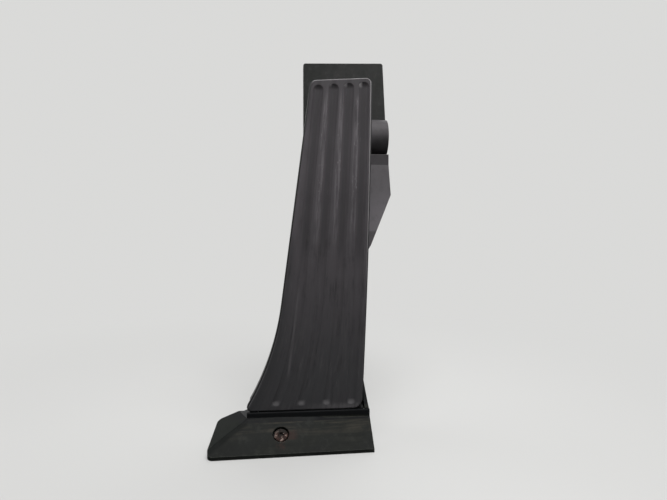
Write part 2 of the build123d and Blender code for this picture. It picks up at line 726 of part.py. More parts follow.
# Stop places on the back wall
IDLE_Y = BACK_FRONT - BUFFER_T
IDLE_Z = HUB_Z + STOP_HORN_H - BUFFER_H / 2
ARM_LENGTH = hypot(CRANK_Y - HUB_Y, CRANK_Z - HUB_Z)
ARM_DIR = ((CRANK_Y - HUB_Y) / ARM_LENGTH, (CRANK_Z - HUB_Z) / ARM_LENGTH)


def arm_half(along):
    return HUB_R + (ARM_TIP_R - HUB_R) * along / ARM_LENGTH


def arm_place(along, side):
    y = HUB_Y + ARM_DIR[0] * along - ARM_DIR[1] * side
    z = HUB_Z + ARM_DIR[1] * along + ARM_DIR[0] * side
    return (y, z)


FULL_FACE = turned(arm_place(FULL_ALONG, arm_half(FULL_ALONG) + FULL_GAP), HUB, PRESS_MAX * LEVER_RATIO)


def full_plane():
    direction = turned(ARM_DIR, (0, 0), PRESS_MAX * LEVER_RATIO)
    normal = (0, -direction[1], direction[0])
    return Plane(origin=(0, FULL_FACE[0], FULL_FACE[1]), x_dir=(1, 0, 0), z_dir=normal)


def stops():
    wide = BUFFER_W + 2 * SEAT_MARGIN
    high = BUFFER_H + 2 * SEAT_MARGIN
    reach = 2 * (BACK_FRONT - FULL_FACE[0])
    seat = full_plane() * Pos(0, 0, BUFFER_T + reach / 2) * Box(wide, high, reach)
    seat = seat & block(-BAY_HALF, BAY_HALF, -FAR, BACK_FRONT + 1, BACK_LOW, HUB_Z)
    leg_y = HUB_Y + SPRING_R + WIRE_R
    rest_z = HUB_Z + REST_LOW
    rest = block(-BAY_HALF, BAY_HALF, leg_y, BACK_FRONT + 1, rest_z, rest_z + REST_H)
    return seat + rest


def make_idle_buffer():
    half = BUFFER_W / 2
    return block(-half, half, IDLE_Y, BACK_FRONT, IDLE_Z - BUFFER_H / 2, IDLE_Z + BUFFER_H / 2)


def make_full_buffer():
    return full_plane() * Pos(0, 0, BUFFER_T / 2) * Box(BUFFER_W, BUFFER_H, BUFFER_T)


# Fixings
def make_foot_screw():
    shank = screw_rod(-BOSS_DEPTH - SCREW_OUT, -BOSS_DEPTH, SCREW_R)
    shank += screw_rod(-BOSS_DEPTH, SEAT_LEVEL, SHOULDER_R)
    head = screw_rod(SEAT_LEVEL, SEAT_LEVEL + SCREW_HEAD_H, SCREW_HEAD_R)
    head = fillet(head.edges().filter_by(GeomType.CIRCLE).sort_by(Axis.Z)[-1], SCREW_ROUND)
    top = SEAT_LEVEL + SCREW_HEAD_H
    drive = SCREW_TOP * Pos(0, 0, top - SCREW_DRIVE_H) * RegularPolygon(SCREW_DRIVE_R, 6)
    return shank + head - extrude(drive, amount=SCREW_DRIVE_H + 2, dir=RAMP_UP)


def make_sleeves():
    sleeves = []
    for side in (-0.5, 0.5):
        length = BACK_T + FIX_BOSS_H
        ring = Cylinder(SLEEVE_R, length) - Cylinder(SLEEVE_BORE_R, length)
        place = Pos(FIX_X + side * FIX_STEP, BACK_Y - length / 2, BACK_TOP - FIX_DOWN)
        sleeves.append(place * Rot(90, 0, 0) * ring)
    return sleeves


def make_hinge_pin():
    pin = rod(KNUCKLE_X, GUSSET_X + GUSSET_T - PIN_CHAMFER, *HINGE, HINGE_PIN_R)
    return chamfer(pin.edges().filter_by(GeomType.CIRCLE), PIN_CHAMFER)


# Lever
HUB_HALF = BAY_HALF - FLANGE_T - END_PLAY


def make_lever():
    hub = rod(-HUB_HALF, HUB_HALF, *HUB, HUB_R)
    ends = Pos(*HUB) * Circle(HUB_R) + Pos(*CRANK) * Circle(ARM_TIP_R)
    arm = slab_yz(make_hull(ends.edges()), -ARM_HALF, ARM_HALF)
    near = Pos(*arm_place(POCKET_NEAR, 0)) * Circle(POCKET_NEAR_R)
    far = Pos(*arm_place(POCKET_FAR, 0)) * Circle(POCKET_FAR_R)
    pocket = make_hull((near + far).edges())
    arm -= slab_yz(pocket, ARM_HALF - POCKET_DEPTH, ARM_HALF + 1)
    arm -= slab_yz(pocket, -ARM_HALF - 1, -ARM_HALF + POCKET_DEPTH)
    tip_y = IDLE_Y - STOP_TOUCH
    tip_z = HUB_Z + STOP_HORN_H
    low = tip_z - BUFFER_H
    front = tip_y - STOP_HORN_T
    horn = [(front - STOP_HORN_FLARE, HUB_Z), (front, low), (front, tip_z)]
    horn += [(tip_y, tip_z), (tip_y, low), (HUB_Y + STOP_HORN_FOOT, HUB_Z)]
    arm += prism_yz(horn, -ARM_HALF, ARM_HALF)
    lug_side = SPRING_R - WIRE_R
    lug_near = LUG_ALONG - LUG_L / 2
    lug_far = LUG_ALONG + LUG_L / 2
    corners = [arm_place(lug_near, LUG_ROOT), arm_place(lug_far, LUG_ROOT)]
    corners += [arm_place(lug_far, lug_side), arm_place(lug_near, lug_side)]
    reach = spring_inner() + WIRE_R
    arm += prism_yz(corners, -reach, reach)
    lever = hub + arm
    lever -= rod(-HUB_HALF - 1, HUB_HALF + 1, *HUB, AXLE_R)
    lever -= rod(-ARM_HALF - 1, ARM_HALF + 1, *CRANK, CRANK_PIN_R)
    return lever


def make_axle():
    axle = rod(-BAY_HALF - BRACKET_T + PIN_CHAMFER, AXLE_RIGHT, *HUB, AXLE_R)
    return chamfer(axle.edges().filter_by(GeomType.CIRCLE), PIN_CHAMFER)


def make_bush(side):
    length = BRACKET_T if side < 0 else CHAMBER_WALL
    body = rod(BAY_HALF, BAY_HALF + length, *HUB, AXLE_R + BUSH_T)
    body += rod(BAY_HALF - FLANGE_T, BAY_HALF, *HUB, FLANGE_R)
    body -= rod(0, BAY_HALF + length + 1, *HUB, AXLE_R + RUN_CLEAR)
    return body if side > 0 else mirror(body, about=Plane.YZ)


def make_crank_pin():
    half = ARM_HALF + GLIDE_GAP + GLIDE_L + PIN_END
    pin = rod(-half, half, *CRANK, CRANK_PIN_R)
    return chamfer(pin.edges().filter_by(GeomType.CIRCLE), PIN_CHAMFER)


def make_glide(side):
    start = ARM_HALF + GLIDE_GAP
    glide = rod(start, start + GLIDE_L, *CRANK, GLIDE_R) - rod(0, FAR, *CRANK, CRANK_PIN_R)
    return glide if side > 0 else mirror(glide, about=Plane.YZ)


# Return springs
def spring_inner():
    return ARM_HALF + SPRING_SIDE + WIRE_R


# Wire of flats with the round wire's area, one flat towards each seat
def wire_section():
    slice_turn = 2 * pi / WIRE_FLATS
    corner_r = WIRE_R * sqrt(slice_turn / sin(slice_turn))
    return RegularPolygon(corner_r, WIRE_FLATS, rotation=degrees(slice_turn / 2))


def spring_leg(end, direction, length):
    return extrude(Plane(origin=end, z_dir=direction) * wire_section(), amount=length)


def make_spring(side):
    turn = 360 - degrees(asin(-ARM_DIR[0]))
    turns = SPRING_TURNS + (360 - turn) / 360
    height = turns * SPRING_PITCH
    coil = Helix(SPRING_PITCH, height, SPRING_R, lefthand=True)
    section = Plane(origin=coil @ 0, z_dir=coil % 0) * wire_section()
    wire = sweep(section, path=coil, is_frenet=True)
    wire += spring_leg(coil @ 0, -(coil % 0), REST_LEG)
    wire += spring_leg(coil @ 1, coil % 1, LUG_LEG)
    start = -spring_inner() - height
    spring = Plane(origin=(start, HUB_Y, HUB_Z), x_dir=(0, 1, 0), z_dir=(1, 0, 0)) * wire
    return spring if side < 0 else mirror(spring, about=Plane.YZ)


# Sensor pieces
def make_carrier():
    cup = rod(CARRIER_X, CARRIER_X + CARRIER_L, *HUB, CARRIER_R)
    cup -= rod(CARRIER_X - 1, AXLE_RIGHT, *HUB, AXLE_R)
    cup -= rod(MAGNET_X, CARRIER_X + CARRIER_L + 1, *HUB, MAGNET_R)
    return cup


def make_magnet():
    return rod(MAGNET_X, MAGNET_X + MAGNET_T, *HUB, MAGNET_R)


def board_block(x0, x1):
    y0 = SOCKET_Y - BOARD_W / 2
    return block(x0, x1, y0, y0 + BOARD_W, CHAMBER_LOW + BOARD_LOW, HUB_Z + BOARD_TOP)


def terminals():
    pins = []
    half = TERMINAL_T / 2
    tail = BOARD_X - TERMINAL_TAIL
    tip = SOCKET_X + TERMINAL_L
    for row in (-0.5, 0.5):
        for column in (-1, 0, 1):
            y = SOCKET_Y + column * TERMINAL_STEP
            z = SOCKET_Z + row * TERMINAL_STEP
            pins.append(block(tail, tip, y - half, y + half, z - half, z + half))
    return pins


def make_board():
    board = board_block(BOARD_X, BOARD_X + BOARD_T)
    board = board & slab_yz(offset(CHAMBER, -BOARD_FIT), CHAMBER_X, FRAME_RIGHT)
    for place in COVER_SCREWS:
        board -= rod(BOARD_X - 1, BOARD_X + BOARD_T + 1, *place, POST_R + POST_ROOM)
    return board - terminals()


def make_chips():
    chips = []
    half = CHIP_W / 2
    for side in (-0.5, 0.5):
        y = HUB_Y + side * CHIP_STEP
        chips.append(block(CHIP_X, BOARD_X, y - half, y + half, HUB_Z - half, HUB_Z + half))
    return chips


def socket_block(x0, x1, wall):
    half_w = SOCKET_W / 2 + wall
    half_h = SOCKET_H / 2 + wall
    return block(x0, x1, SOCKET_Y - half_w, SOCKET_Y + half_w, SOCKET_Z - half_h, SOCKET_Z + half_h)


def make_cover():
    cover = slab_yz(offset(CHAMBER_RIM, -COVER_FIT), FRAME_RIGHT - COVER_T, FRAME_RIGHT)
    cover += socket_block(SOCKET_X - SOCKET_WALL, FRAME_RIGHT, SOCKET_WALL)
    cover -= socket_block(SOCKET_X, FRAME_RIGHT + 1, 0)
    for place in COVER_SCREWS:
        cover -= rod(FRAME_RIGHT - COVER_T - 1, FRAME_RIGHT + 1, *place, COVER_SCREW_R)
        cover -= rod(FRAME_RIGHT - COVER_HEAD_H, FRAME_RIGHT + 1, *place, COVER_HEAD_R)
    return cover - terminals()


def make_seal():
    ring = offset(CHAMBER_RIM, -COVER_FIT) - CHAMBER
    return slab_yz(ring, RECESS_X, RECESS_X + SEAL_T)


def make_cover_screws():
    screws = []
    for place in COVER_SCREWS:
        head_x = FRAME_RIGHT - COVER_HEAD_H
        screw = rod(head_x, FRAME_RIGHT, *place, COVER_HEAD_R)
        tip = RECESS_X + COVER_T - COVER_SCREW_L + COVER_SCREW_ROOM
        screw += rod(tip, head_x, *place, COVER_SCREW_R)
        screws.append(screw)
    return screws


# Origin where the foot screw leaves its boss
ORIGIN = SCREW_TOP.from_local_coords((0, 0, -BOSS_DEPTH))


def save(name, shape):
    if isinstance(shape, list):
        shape = Part() + shape
    export_step(Pos(-ORIGIN.X, -ORIGIN.Y, -ORIGIN.Z) * shape, "parts/" + name + ".step")


os.makedirs("parts", exist_ok=True)
save("base_frame", make_frame())
save("foot_screw", make_foot_screw())
save("upper_sleeves", make_sleeves())
save("hinge_pin", make_hinge_pin())
save("pedal_plate", make_plate())
save("tread_pad", make_tread())
save("drive_lever", make_lever())
save("pivot_axle", make_axle())
save("axle_bush_left", make_bush(-1))
save("axle_bush_right", make_bush(1))
save("crank_pin", make_crank_pin())
save("glide_left", make_glide(-1))
save("glide_right", make_glide(1))
save("return_spring_left", make_spring(-1))
save("return_spring_right", make_spring(1))
save("idle_buffer", make_idle_buffer())
save("full_buffer", make_full_buffer())
save("magnet_carrier", make_carrier())
save("sensor_magnet", make_magnet())
save("circuit_board", make_board())
save("hall_chips", make_chips())
save("plug_terminals", terminals())
save("sensor_cover", make_cover())
save("cover_seal", make_seal())
save("cover_screws", make_cover_screws())
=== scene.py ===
import json
from math import cos, pi, radians, sin, tan

import bpy
from mathutils import Matrix, Vector, noise as solid_noise


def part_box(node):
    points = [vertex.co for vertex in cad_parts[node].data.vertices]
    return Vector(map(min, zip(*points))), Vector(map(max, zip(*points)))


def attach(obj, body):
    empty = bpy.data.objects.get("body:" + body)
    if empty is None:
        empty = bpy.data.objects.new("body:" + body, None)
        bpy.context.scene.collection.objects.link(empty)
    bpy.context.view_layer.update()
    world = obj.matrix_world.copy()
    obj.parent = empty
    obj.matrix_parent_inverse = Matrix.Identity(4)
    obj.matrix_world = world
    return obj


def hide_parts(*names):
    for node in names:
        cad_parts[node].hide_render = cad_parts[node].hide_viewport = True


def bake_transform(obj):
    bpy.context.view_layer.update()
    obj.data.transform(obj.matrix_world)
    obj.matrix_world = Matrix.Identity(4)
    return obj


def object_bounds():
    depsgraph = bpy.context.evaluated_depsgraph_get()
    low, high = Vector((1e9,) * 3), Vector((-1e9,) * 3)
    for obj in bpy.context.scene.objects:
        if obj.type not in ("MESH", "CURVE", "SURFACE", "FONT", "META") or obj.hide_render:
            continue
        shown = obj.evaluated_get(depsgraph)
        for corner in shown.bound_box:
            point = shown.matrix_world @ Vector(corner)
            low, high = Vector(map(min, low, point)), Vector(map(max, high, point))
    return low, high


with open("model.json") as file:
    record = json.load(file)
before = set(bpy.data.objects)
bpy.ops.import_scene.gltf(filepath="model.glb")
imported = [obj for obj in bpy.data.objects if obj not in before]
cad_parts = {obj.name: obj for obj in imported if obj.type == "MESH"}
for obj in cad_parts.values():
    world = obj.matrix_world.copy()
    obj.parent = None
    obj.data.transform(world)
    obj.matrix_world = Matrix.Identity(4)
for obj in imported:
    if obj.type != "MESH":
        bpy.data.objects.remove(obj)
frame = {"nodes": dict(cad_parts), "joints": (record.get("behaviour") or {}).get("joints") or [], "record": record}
cad_low, cad_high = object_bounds()
NODES = frame["nodes"]
JOINTS = {joint["name"]: joint for joint in frame["joints"]}
MOUNTS = {mount["name"]: mount for mount in frame["record"]["mounts"]}
SLOTS = {part["node"]: part["material_slot"] for part in frame["record"]["subparts"]}
HINGE = Vector(JOINTS["pedal_press"]["pos_m"])
HUB = Vector(JOINTS["lever_turn"]["pos_m"])
MM = 0.001

# Foot screw: its place, its axis up through the head, and the middle of the head's top
SCREW = MOUNTS["foot_screw"]
SCREW_PLACE = Vector(SCREW["pos_m"])
SCREW_UP = -Vector(SCREW["axis"]).normalized()
HEAD_TOP = 4.5 * MM
SCREW_HEAD = SCREW_PLACE + HEAD_TOP * SCREW_UP

# Camera, from the photograph's perspective
IMAGE_WIDTH = 667
FOCAL_PIXELS = 500.0
SENSOR = 36.0
CAMERA_PLACE = Vector((0.003289, -0.319455, 0.132599))
CAMERA_YAW = radians(5.5)
CAMERA_PITCH = radians(2.0)
CLIP_START = 0.01

# Lights, each a disk with its place, size and power
LIGHTS = {
    "key": (Vector((0.10, -0.22, 0.80)), 0.55, 7.5),
    "fill": (Vector((0.20, -0.95, 0.30)), 0.9, 0.8),
    "back": (Vector((0.45, 0.95, 0.70)), 1.6, 13.0),
    "side": (Vector((-0.95, 0.35, 0.45)), 0.8, 4.5),
}

# Background, and the floor that fades into it with the distance from the part's origin
AMBIENT = 0.09
PALE = (0.70, 0.70, 0.69, 1.0)
FLOOR_DARK = (0.49, 0.49, 0.482)
FLOOR_LIGHT = (0.52, 0.52, 0.512)
FLOOR_ROUGH = 0.7
FLOOR_SIZE = 8.0
FADE_REACH = (0.10, 0.55)
FADE_SHARE = (0.35, 1.0)

# Sockets of a mix node that mixes colours
MIX_SHARE, MIX_FIRST, MIX_SECOND, MIX_RESULT = 0, 6, 7, 2
BEVEL_SAMPLES = 6


def rgb(red, green, blue):
    return (red, green, blue, 1.0)


class Finish:
    """One material's node tree, with a short method for each kind of node."""

    def __init__(self, name):
        self.material = bpy.data.materials.new(name)
        self.material.use_nodes = True
        self.nodes = self.material.node_tree.nodes
        self.links = self.material.node_tree.links
        self.nodes.clear()
        self.shader = self.nodes.new("ShaderNodeBsdfPrincipled")
        self.output = self.nodes.new("ShaderNodeOutputMaterial")
        self.links.new(self.shader.outputs["BSDF"], self.output.inputs["Surface"])
        self.coords = self.nodes.new("ShaderNodeTexCoord")
        self.place = self.coords.outputs["Object"]
        self.x, self.y, self.z = self.split(self.place)

    def put(self, value, socket):
        if isinstance(value, bpy.types.NodeSocket):
            self.links.new(value, socket)
        else:
            socket.default_value = value

    def split(self, vector):
        node = self.nodes.new("ShaderNodeSeparateXYZ")
        self.put(vector, node.inputs[0])
        return node.outputs

    def join(self, x, y, z):
        node = self.nodes.new("ShaderNodeCombineXYZ")
        for value, socket in zip((x, y, z), node.inputs):
            self.put(value, socket)
        return node.outputs[0]

    def math(self, operation, *values):
        node = self.nodes.new("ShaderNodeMath")
        node.operation = operation
        for value, socket in zip(values, node.inputs):
            self.put(value, socket)
        return node.outputs[0]

    def chain(self, operation, result, *others):
        for value in others:
            result = self.math(operation, result, value)
        return result

    def times(self, *values):
        return self.chain("MULTIPLY", *values)

    def largest(self, *values):
        return self.chain("MAXIMUM", *values)

    def minus(self, value, amount):
        return self.math("SUBTRACT", value, amount)

    def line(self, value, slope, start):
        return self.math("MULTIPLY_ADD", value, slope, start)

    def distance(self, across, along):
        return self.math("SQRT", self.line(across, across, self.times(along, along)))

    def span(self, value, low, high, to_low=0.0, to_high=1.0):
        node = self.nodes.new("ShaderNodeMapRange")
        node.interpolation_type = "SMOOTHSTEP"
        for item, socket in zip((value, low, high, to_low, to_high), node.inputs):
            self.put(item, socket)
        return node.outputs[0]

    def within(self, value, low, high, soft):
        return self.times(self.span(value, low - soft, low), self.span(value, high + soft, high))

    def noise(self, scale, stretch=(1, 1, 1), detail=4.0, rough=0.55, vector=None):
        mapping = self.nodes.new("ShaderNodeMapping")
        self.put(vector or self.place, mapping.inputs["Vector"])
        mapping.inputs["Scale"].default_value = stretch
        node = self.nodes.new("ShaderNodeTexNoise")
        self.put(mapping.outputs[0], node.inputs["Vector"])
        node.inputs["Scale"].default_value = scale
        node.inputs["Detail"].default_value = detail
        node.inputs["Roughness"].default_value = rough
        return node.outputs[0]

    def cell_edges(self, scale):
        node = self.nodes.new("ShaderNodeTexVoronoi")
        node.feature = "DISTANCE_TO_EDGE"
        self.put(self.place, node.inputs["Vector"])
        node.inputs["Scale"].default_value = scale
        return node.outputs["Distance"]

    def mix(self, share, first, second):
        node = self.nodes.new("ShaderNodeMix")
        node.data_type = "RGBA"
        self.put(share, node.inputs[MIX_SHARE])
        self.put(first, node.inputs[MIX_FIRST])
        self.put(second, node.inputs[MIX_SECOND])
        return node.outputs[MIX_RESULT]

    def clouds(self, share, first, second):
        """Two fixed colours, mixed by a share."""
        return self.mix(share, rgb(*first), rgb(*second))

    def coat(self, body, colour, *shares):
        """Lays a fixed colour over the body, by the product of the shares."""
        return self.mix(self.times(*shares), body, rgb(*colour))

    def rounded(self, radius):
        """Normal as if all edges were rounded by a radius."""
        bevel = self.nodes.new("ShaderNodeBevel")
        bevel.samples = BEVEL_SAMPLES
        bevel.inputs["Radius"].default_value = radius
        return bevel.outputs[0]

    def edge(self, radius, low=0.02, high=0.25):
        """Share of outer and inner edges, from how far a rounded normal leaves the true one."""
        geometry = self.nodes.new("ShaderNodeNewGeometry")
        dot = self.nodes.new("ShaderNodeVectorMath")
        dot.operation = "DOT_PRODUCT"
        self.put(self.rounded(radius), dot.inputs[0])
        self.put(geometry.outputs["Normal"], dot.inputs[1])
        return self.span(self.minus(1.0, dot.outputs["Value"]), low, high)

    def facing(self):
        """How much a face looks right, back and up in the part's own frame, each from -1 to 1."""
        return self.split(self.coords.outputs["Normal"])

    def colour(self, value):
        self.put(value, self.shader.inputs["Base Color"])

    def rough(self, value):
        self.put(value, self.shader.inputs["Roughness"])

    def set(self, **values):
        for name, value in values.items():
            self.shader.inputs[name.replace("_", " ")].default_value = value

    def bumps(self, layers, round_edge=0.0):
        """Stacks bump layers of (height, distance, strength), over rounded edges where asked."""
        normal = self.rounded(round_edge) if round_edge else None
        for height, distance, strength in layers:
            node = self.nodes.new("ShaderNodeBump")
            node.inputs["Distance"].default_value = distance
            node.inputs["Strength"].default_value = strength
            self.put(height, node.inputs["Height"])
            if normal is not None:
                self.put(normal, node.inputs["Normal"])
            normal = node.outputs[0]
        self.put(normal, self.shader.inputs["Normal"])


# Sides of the tread, measured from the hinge's middle
SIDE_LEAN = radians(7.65)
FLARE_X = HINGE.x - 15.95 * MM
FLARE_Z = HINGE.z + 71.5 * MM
FLARE_R = 179.06 * MM
RIGHT_LOW_X = HINGE.x + 36.3 * MM
RIGHT_LOW_Z = HINGE.z + 3.0 * MM
RIGHT_SLOPE = 9.7 / 223.0

# Flutes: height of their ends, and their first and last lines as shares of the tread's width
FLUTE_LOW_Z = HINGE.z + 8.7 * MM
FLUTE_HIGH_Z = HINGE.z + 219.4 * MM
FIRST_LOW, FIRST_HIGH = 0.227, 0.126
LAST_LOW, LAST_HIGH = 0.903, 0.874
FLUTE_GAPS = 3
FLUTE_WAVE = 2 * pi * FLUTE_GAPS

# Rubbed wear and a painted highlight lie a little right of each ridge's middle, by this part of the wave
RIDGE_SHIFT = radians(30.0)

# A zone is (low, high, soft edge), or (none, full) where only one side of it ends

# Zones across the tread, 0 on the first flute's line and 1 on the last one's
FACE_ACROSS = (-0.2, 1.13, 0.02)
FLUTED_ACROSS = (-0.1, 1.1, 0.04)
RIDGED_ACROSS = (0.0, 1.0, 0.04)
LEFT_HIGHLIGHT_ACROSS = (-0.10, -0.22)
LEFT_FLARE_SHADE_ACROSS = (-0.08, -0.30)
LOW_RUB_ACROSS = (0.25, 0.80)

# Zones along the tread, 0 at the flutes' lower ends and 1 at their upper ends
FACE_TOP = (1.02, 1.0)
LOW_TONE_RISE = (0.05, 0.45)
TOP_TONE_RISE = (0.80, 0.95)
DRIFT_RISE = (0.75, 0.45)
SHADED_RISE = (0.52, 0.97, 0.14)
WEAR_HIGHLIGHT_START = (0.42, 0.60)
WEAR_HIGHLIGHT_END = (1.02, 0.92)
SPECK_RISE = (0.66, 0.94, 0.06)
FLUTE_END_HIGHLIGHT_RISE = (-0.006, -0.002, 0.009)
LEFT_HIGHLIGHT_RISE = (0.55, 0.84, 0.08)
LEFT_FLARE_SHADE_RISE = (0.02, 0.45, 0.12)
LOW_RUB_RISE = (-0.032, -0.018, 0.016)
LIT_EDGE_RISE = (0.3, 0.58)
LIT_EDGE_SHARE = (0.15, 0.9)

# Faint painted highlight streak down the tread's lower left
HIGHLIGHT_STREAK_X = HINGE.x - 5.1 * MM
HIGHLIGHT_STREAK_Z = HINGE.z + 82.5 * MM
HIGHLIGHT_STREAK_SLOPE = 0.127
HIGHLIGHT_STREAK_HALF = (1.2 * MM, 0.2 * MM)
HIGHLIGHT_STREAK_RUN = (HIGHLIGHT_STREAK_Z - 50.0 * MM, HIGHLIGHT_STREAK_Z - 8.0 * MM, 12.0 * MM)

# Tones of the tread
RUBBER_LOW = (0.042, 0.0415, 0.0440)
RUBBER_MIDDLE = (0.063, 0.0580, 0.0625)
RUBBER_TOP = (0.048, 0.0440, 0.0475)
RUBBER_CLOUD = (0.047, 0.0445, 0.047)
DRIFT_DARK = (0.026, 0.0255, 0.027)
DRIFT_PALE = (0.076, 0.074, 0.077)
FLUTE_DARK = (0.024, 0.023, 0.024)
RIDGE_WEAR_HIGHLIGHT = (0.135, 0.124, 0.133)
SPECK_PALE = (0.30, 0.29, 0.295)
SCRATCH_PALE = (0.105, 0.099, 0.104)
HIGHLIGHT_STREAK_PALE = (0.105, 0.10, 0.105)
FLUTE_END_HIGHLIGHT = (0.125, 0.120, 0.124)
LEFT_HIGHLIGHT = (0.095, 0.085, 0.093)
LEFT_FLARE_SHADE = (0.026, 0.0260, 0.0275)
LOW_RUB_PALE = (0.120, 0.115, 0.119)
LIT_EDGE = (0.27, 0.26, 0.265)


class TreadFinish(Finish):
    """Rubber of the tread, with wear, painted shade and painted highlights that follow its fanning flutes."""

    def __init__(self, name):
        super().__init__(name)
        self.across, self.rise = self.flute_place()
        self.wave = self.math("COSINE", self.times(self.across, FLUTE_WAVE))
        lit_wave = self.math("COSINE", self.line(self.across, FLUTE_WAVE, -RIDGE_SHIFT))
        ridged = self.within(self.across, *RIDGED_ACROSS)
        self.ridge = self.times(self.span(lit_wave, -0.25, -0.95), ridged)
        fan = self.join(self.across, self.y, self.z)
        self.streaks = self.noise(1.0, (26.0, 12.0, 48.0), 5.0, 0.62, fan)
        self.fine = self.noise(1.0, (95.0, 40.0, 90.0), 3.0, 0.6, fan)
        self.drift = self.noise(1.0, (17.0, 12.0, 38.0), 6.0, 0.68, fan)
        self.specks = self.noise(1.0, (70.0, 40.0, 330.0), 4.0, 0.7, fan)
        self.mottle = self.noise(55.0, detail=5.0, rough=0.6)
        streaky = self.span(self.streaks, 0.38, 0.62)
        wear_highlight_zone = self.times(self.span(self.rise, *WEAR_HIGHLIGHT_START), self.span(self.rise, *WEAR_HIGHLIGHT_END))
        # Rubbed wear on the ridges, together with their painted highlight
        self.worn = self.times(self.ridge, streaky, wear_highlight_zone)

    def flute_place(self):
        """Place across the flutes and rise along them, as the zones above count them."""
        slant = self.line(self.minus(self.z, FLARE_Z), tan(SIDE_LEAN), FLARE_X)
        drop = self.minus(self.z, FLARE_Z + FLARE_R * sin(SIDE_LEAN))
        reach = self.math("SQRT", self.line(drop, self.times(drop, -1.0), FLARE_R**2))
        curve = self.math("ADD", reach, FLARE_X - FLARE_R * cos(SIDE_LEAN))
        above = self.math("GREATER_THAN", self.z, FLARE_Z)
        left = self.line(above, self.minus(slant, curve), curve)
        right = self.line(self.minus(self.z, RIGHT_LOW_Z), RIGHT_SLOPE, RIGHT_LOW_X)
        side_share = self.math("DIVIDE", self.minus(self.x, left), self.minus(right, left))
        lift = self.minus(self.z, FLUTE_LOW_Z)
        rise = self.math("DIVIDE", lift, FLUTE_HIGH_Z - FLUTE_LOW_Z)
        first = self.line(rise, FIRST_HIGH - FIRST_LOW, FIRST_LOW)
        last = self.line(rise, LAST_HIGH - LAST_LOW, LAST_LOW)
        across = self.math("DIVIDE", self.minus(side_share, first), self.minus(last, first))
        return across, rise

    def ground(self):
        body = self.clouds(self.span(self.rise, *LOW_TONE_RISE), RUBBER_LOW, RUBBER_MIDDLE)
        body = self.coat(body, RUBBER_TOP, self.span(self.rise, *TOP_TONE_RISE))
        return self.coat(body, RUBBER_CLOUD, self.span(self.mottle, 0.35, 0.75, 0.0, 0.5))

    def drifts(self, body):
        """Long dark and pale streaks, mostly on the lower half."""
        patchy = self.span(self.mottle, 0.40, 0.60, 0.2, 1.0)
        lower = self.times(self.span(self.rise, *DRIFT_RISE), patchy)
        body = self.coat(body, DRIFT_DARK, self.span(self.drift, 0.50, 0.36), lower, 0.55)
        return self.coat(body, DRIFT_PALE, self.span(self.drift, 0.52, 0.66), lower, 0.45)

    def flutes(self, body):
        """Painted shade in the flutes, rubbed ridges with a painted highlight and pale specks, and a painted
        highlight on the left side beside them.
        """
        # Painted shade in the flutes
        flute = self.times(self.span(self.wave, 0.2, 0.95), self.within(self.across, *FLUTED_ACROSS))
        body = self.coat(body, FLUTE_DARK, flute, self.within(self.rise, *SHADED_RISE), 0.50)
        # Painted highlight on the left side beside the flutes
        beside = self.span(self.across, *LEFT_HIGHLIGHT_ACROSS)
        body = self.coat(body, LEFT_HIGHLIGHT, beside, self.within(self.rise, *LEFT_HIGHLIGHT_RISE), 0.40)
        # Ridges: rubbed wear and painted highlight
        body = self.coat(body, RIDGE_WEAR_HIGHLIGHT, self.worn, 0.65)
        speck = self.times(self.ridge, self.span(self.specks, 0.60, 0.68))
        return self.coat(body, SPECK_PALE, speck, self.within(self.rise, *SPECK_RISE), 0.55)

    def scratches(self, body):
        """Fine scratches, and one long painted highlight streak low on the left."""
        fine = self.span(self.fine, 0.58, 0.72)
        body = self.coat(body, SCRATCH_PALE, fine, self.span(self.streaks, 0.45, 0.62), 0.40)
        # Painted highlight streak along a slanted line low on the left
        slant = self.line(self.minus(self.z, HIGHLIGHT_STREAK_Z), HIGHLIGHT_STREAK_SLOPE, HIGHLIGHT_STREAK_X)
        beside = self.math("ABSOLUTE", self.minus(self.x, slant))
        patchy = self.span(self.streaks, 0.30, 0.55, 0.3, 1.0)
        highlight_streak = self.times(self.span(beside, *HIGHLIGHT_STREAK_HALF), patchy)
        return self.coat(body, HIGHLIGHT_STREAK_PALE, highlight_streak, self.within(self.z, *HIGHLIGHT_STREAK_RUN), 0.50)

    def low_end(self, body):
        """Painted highlights at the flute ends, painted shade on the left flare and a rubbed lower edge."""
        # Painted highlight at the flute ends
        end_highlight = self.times(self.span(self.wave, 0.35, 1.0), self.within(self.across, *FLUTED_ACROSS))
        body = self.coat(body, FLUTE_END_HIGHLIGHT, end_highlight, self.within(self.rise, *FLUTE_END_HIGHLIGHT_RISE), 0.55)
        # Painted shade on the left flare
        flare = self.span(self.across, *LEFT_FLARE_SHADE_ACROSS)
        body = self.coat(body, LEFT_FLARE_SHADE, flare, self.within(self.rise, *LEFT_FLARE_SHADE_RISE), 0.45)
        rub = self.times(self.within(self.rise, *LOW_RUB_RISE), self.span(self.across, *LOW_RUB_ACROSS))
        return self.coat(body, LOW_RUB_PALE, rub, self.span(self.streaks, 0.36, 0.56, 0.45, 1.0), 0.50)

    def lit_edge(self, body):
        """Painted highlight on the edge round the face, on the right and on the top."""
        right, back, up = self.facing()
        face = self.times(self.within(self.across, *FACE_ACROSS), self.span(self.rise, *FACE_TOP))
        outward = self.largest(self.span(right, 0.10, 0.45), self.span(up, 0.35, 0.75))
        outward = self.times(outward, self.span(back, 0.1, -0.2), self.minus(1.0, face))
        return self.coat(body, LIT_EDGE, outward, self.span(self.rise, *LIT_EDGE_RISE, *LIT_EDGE_SHARE))


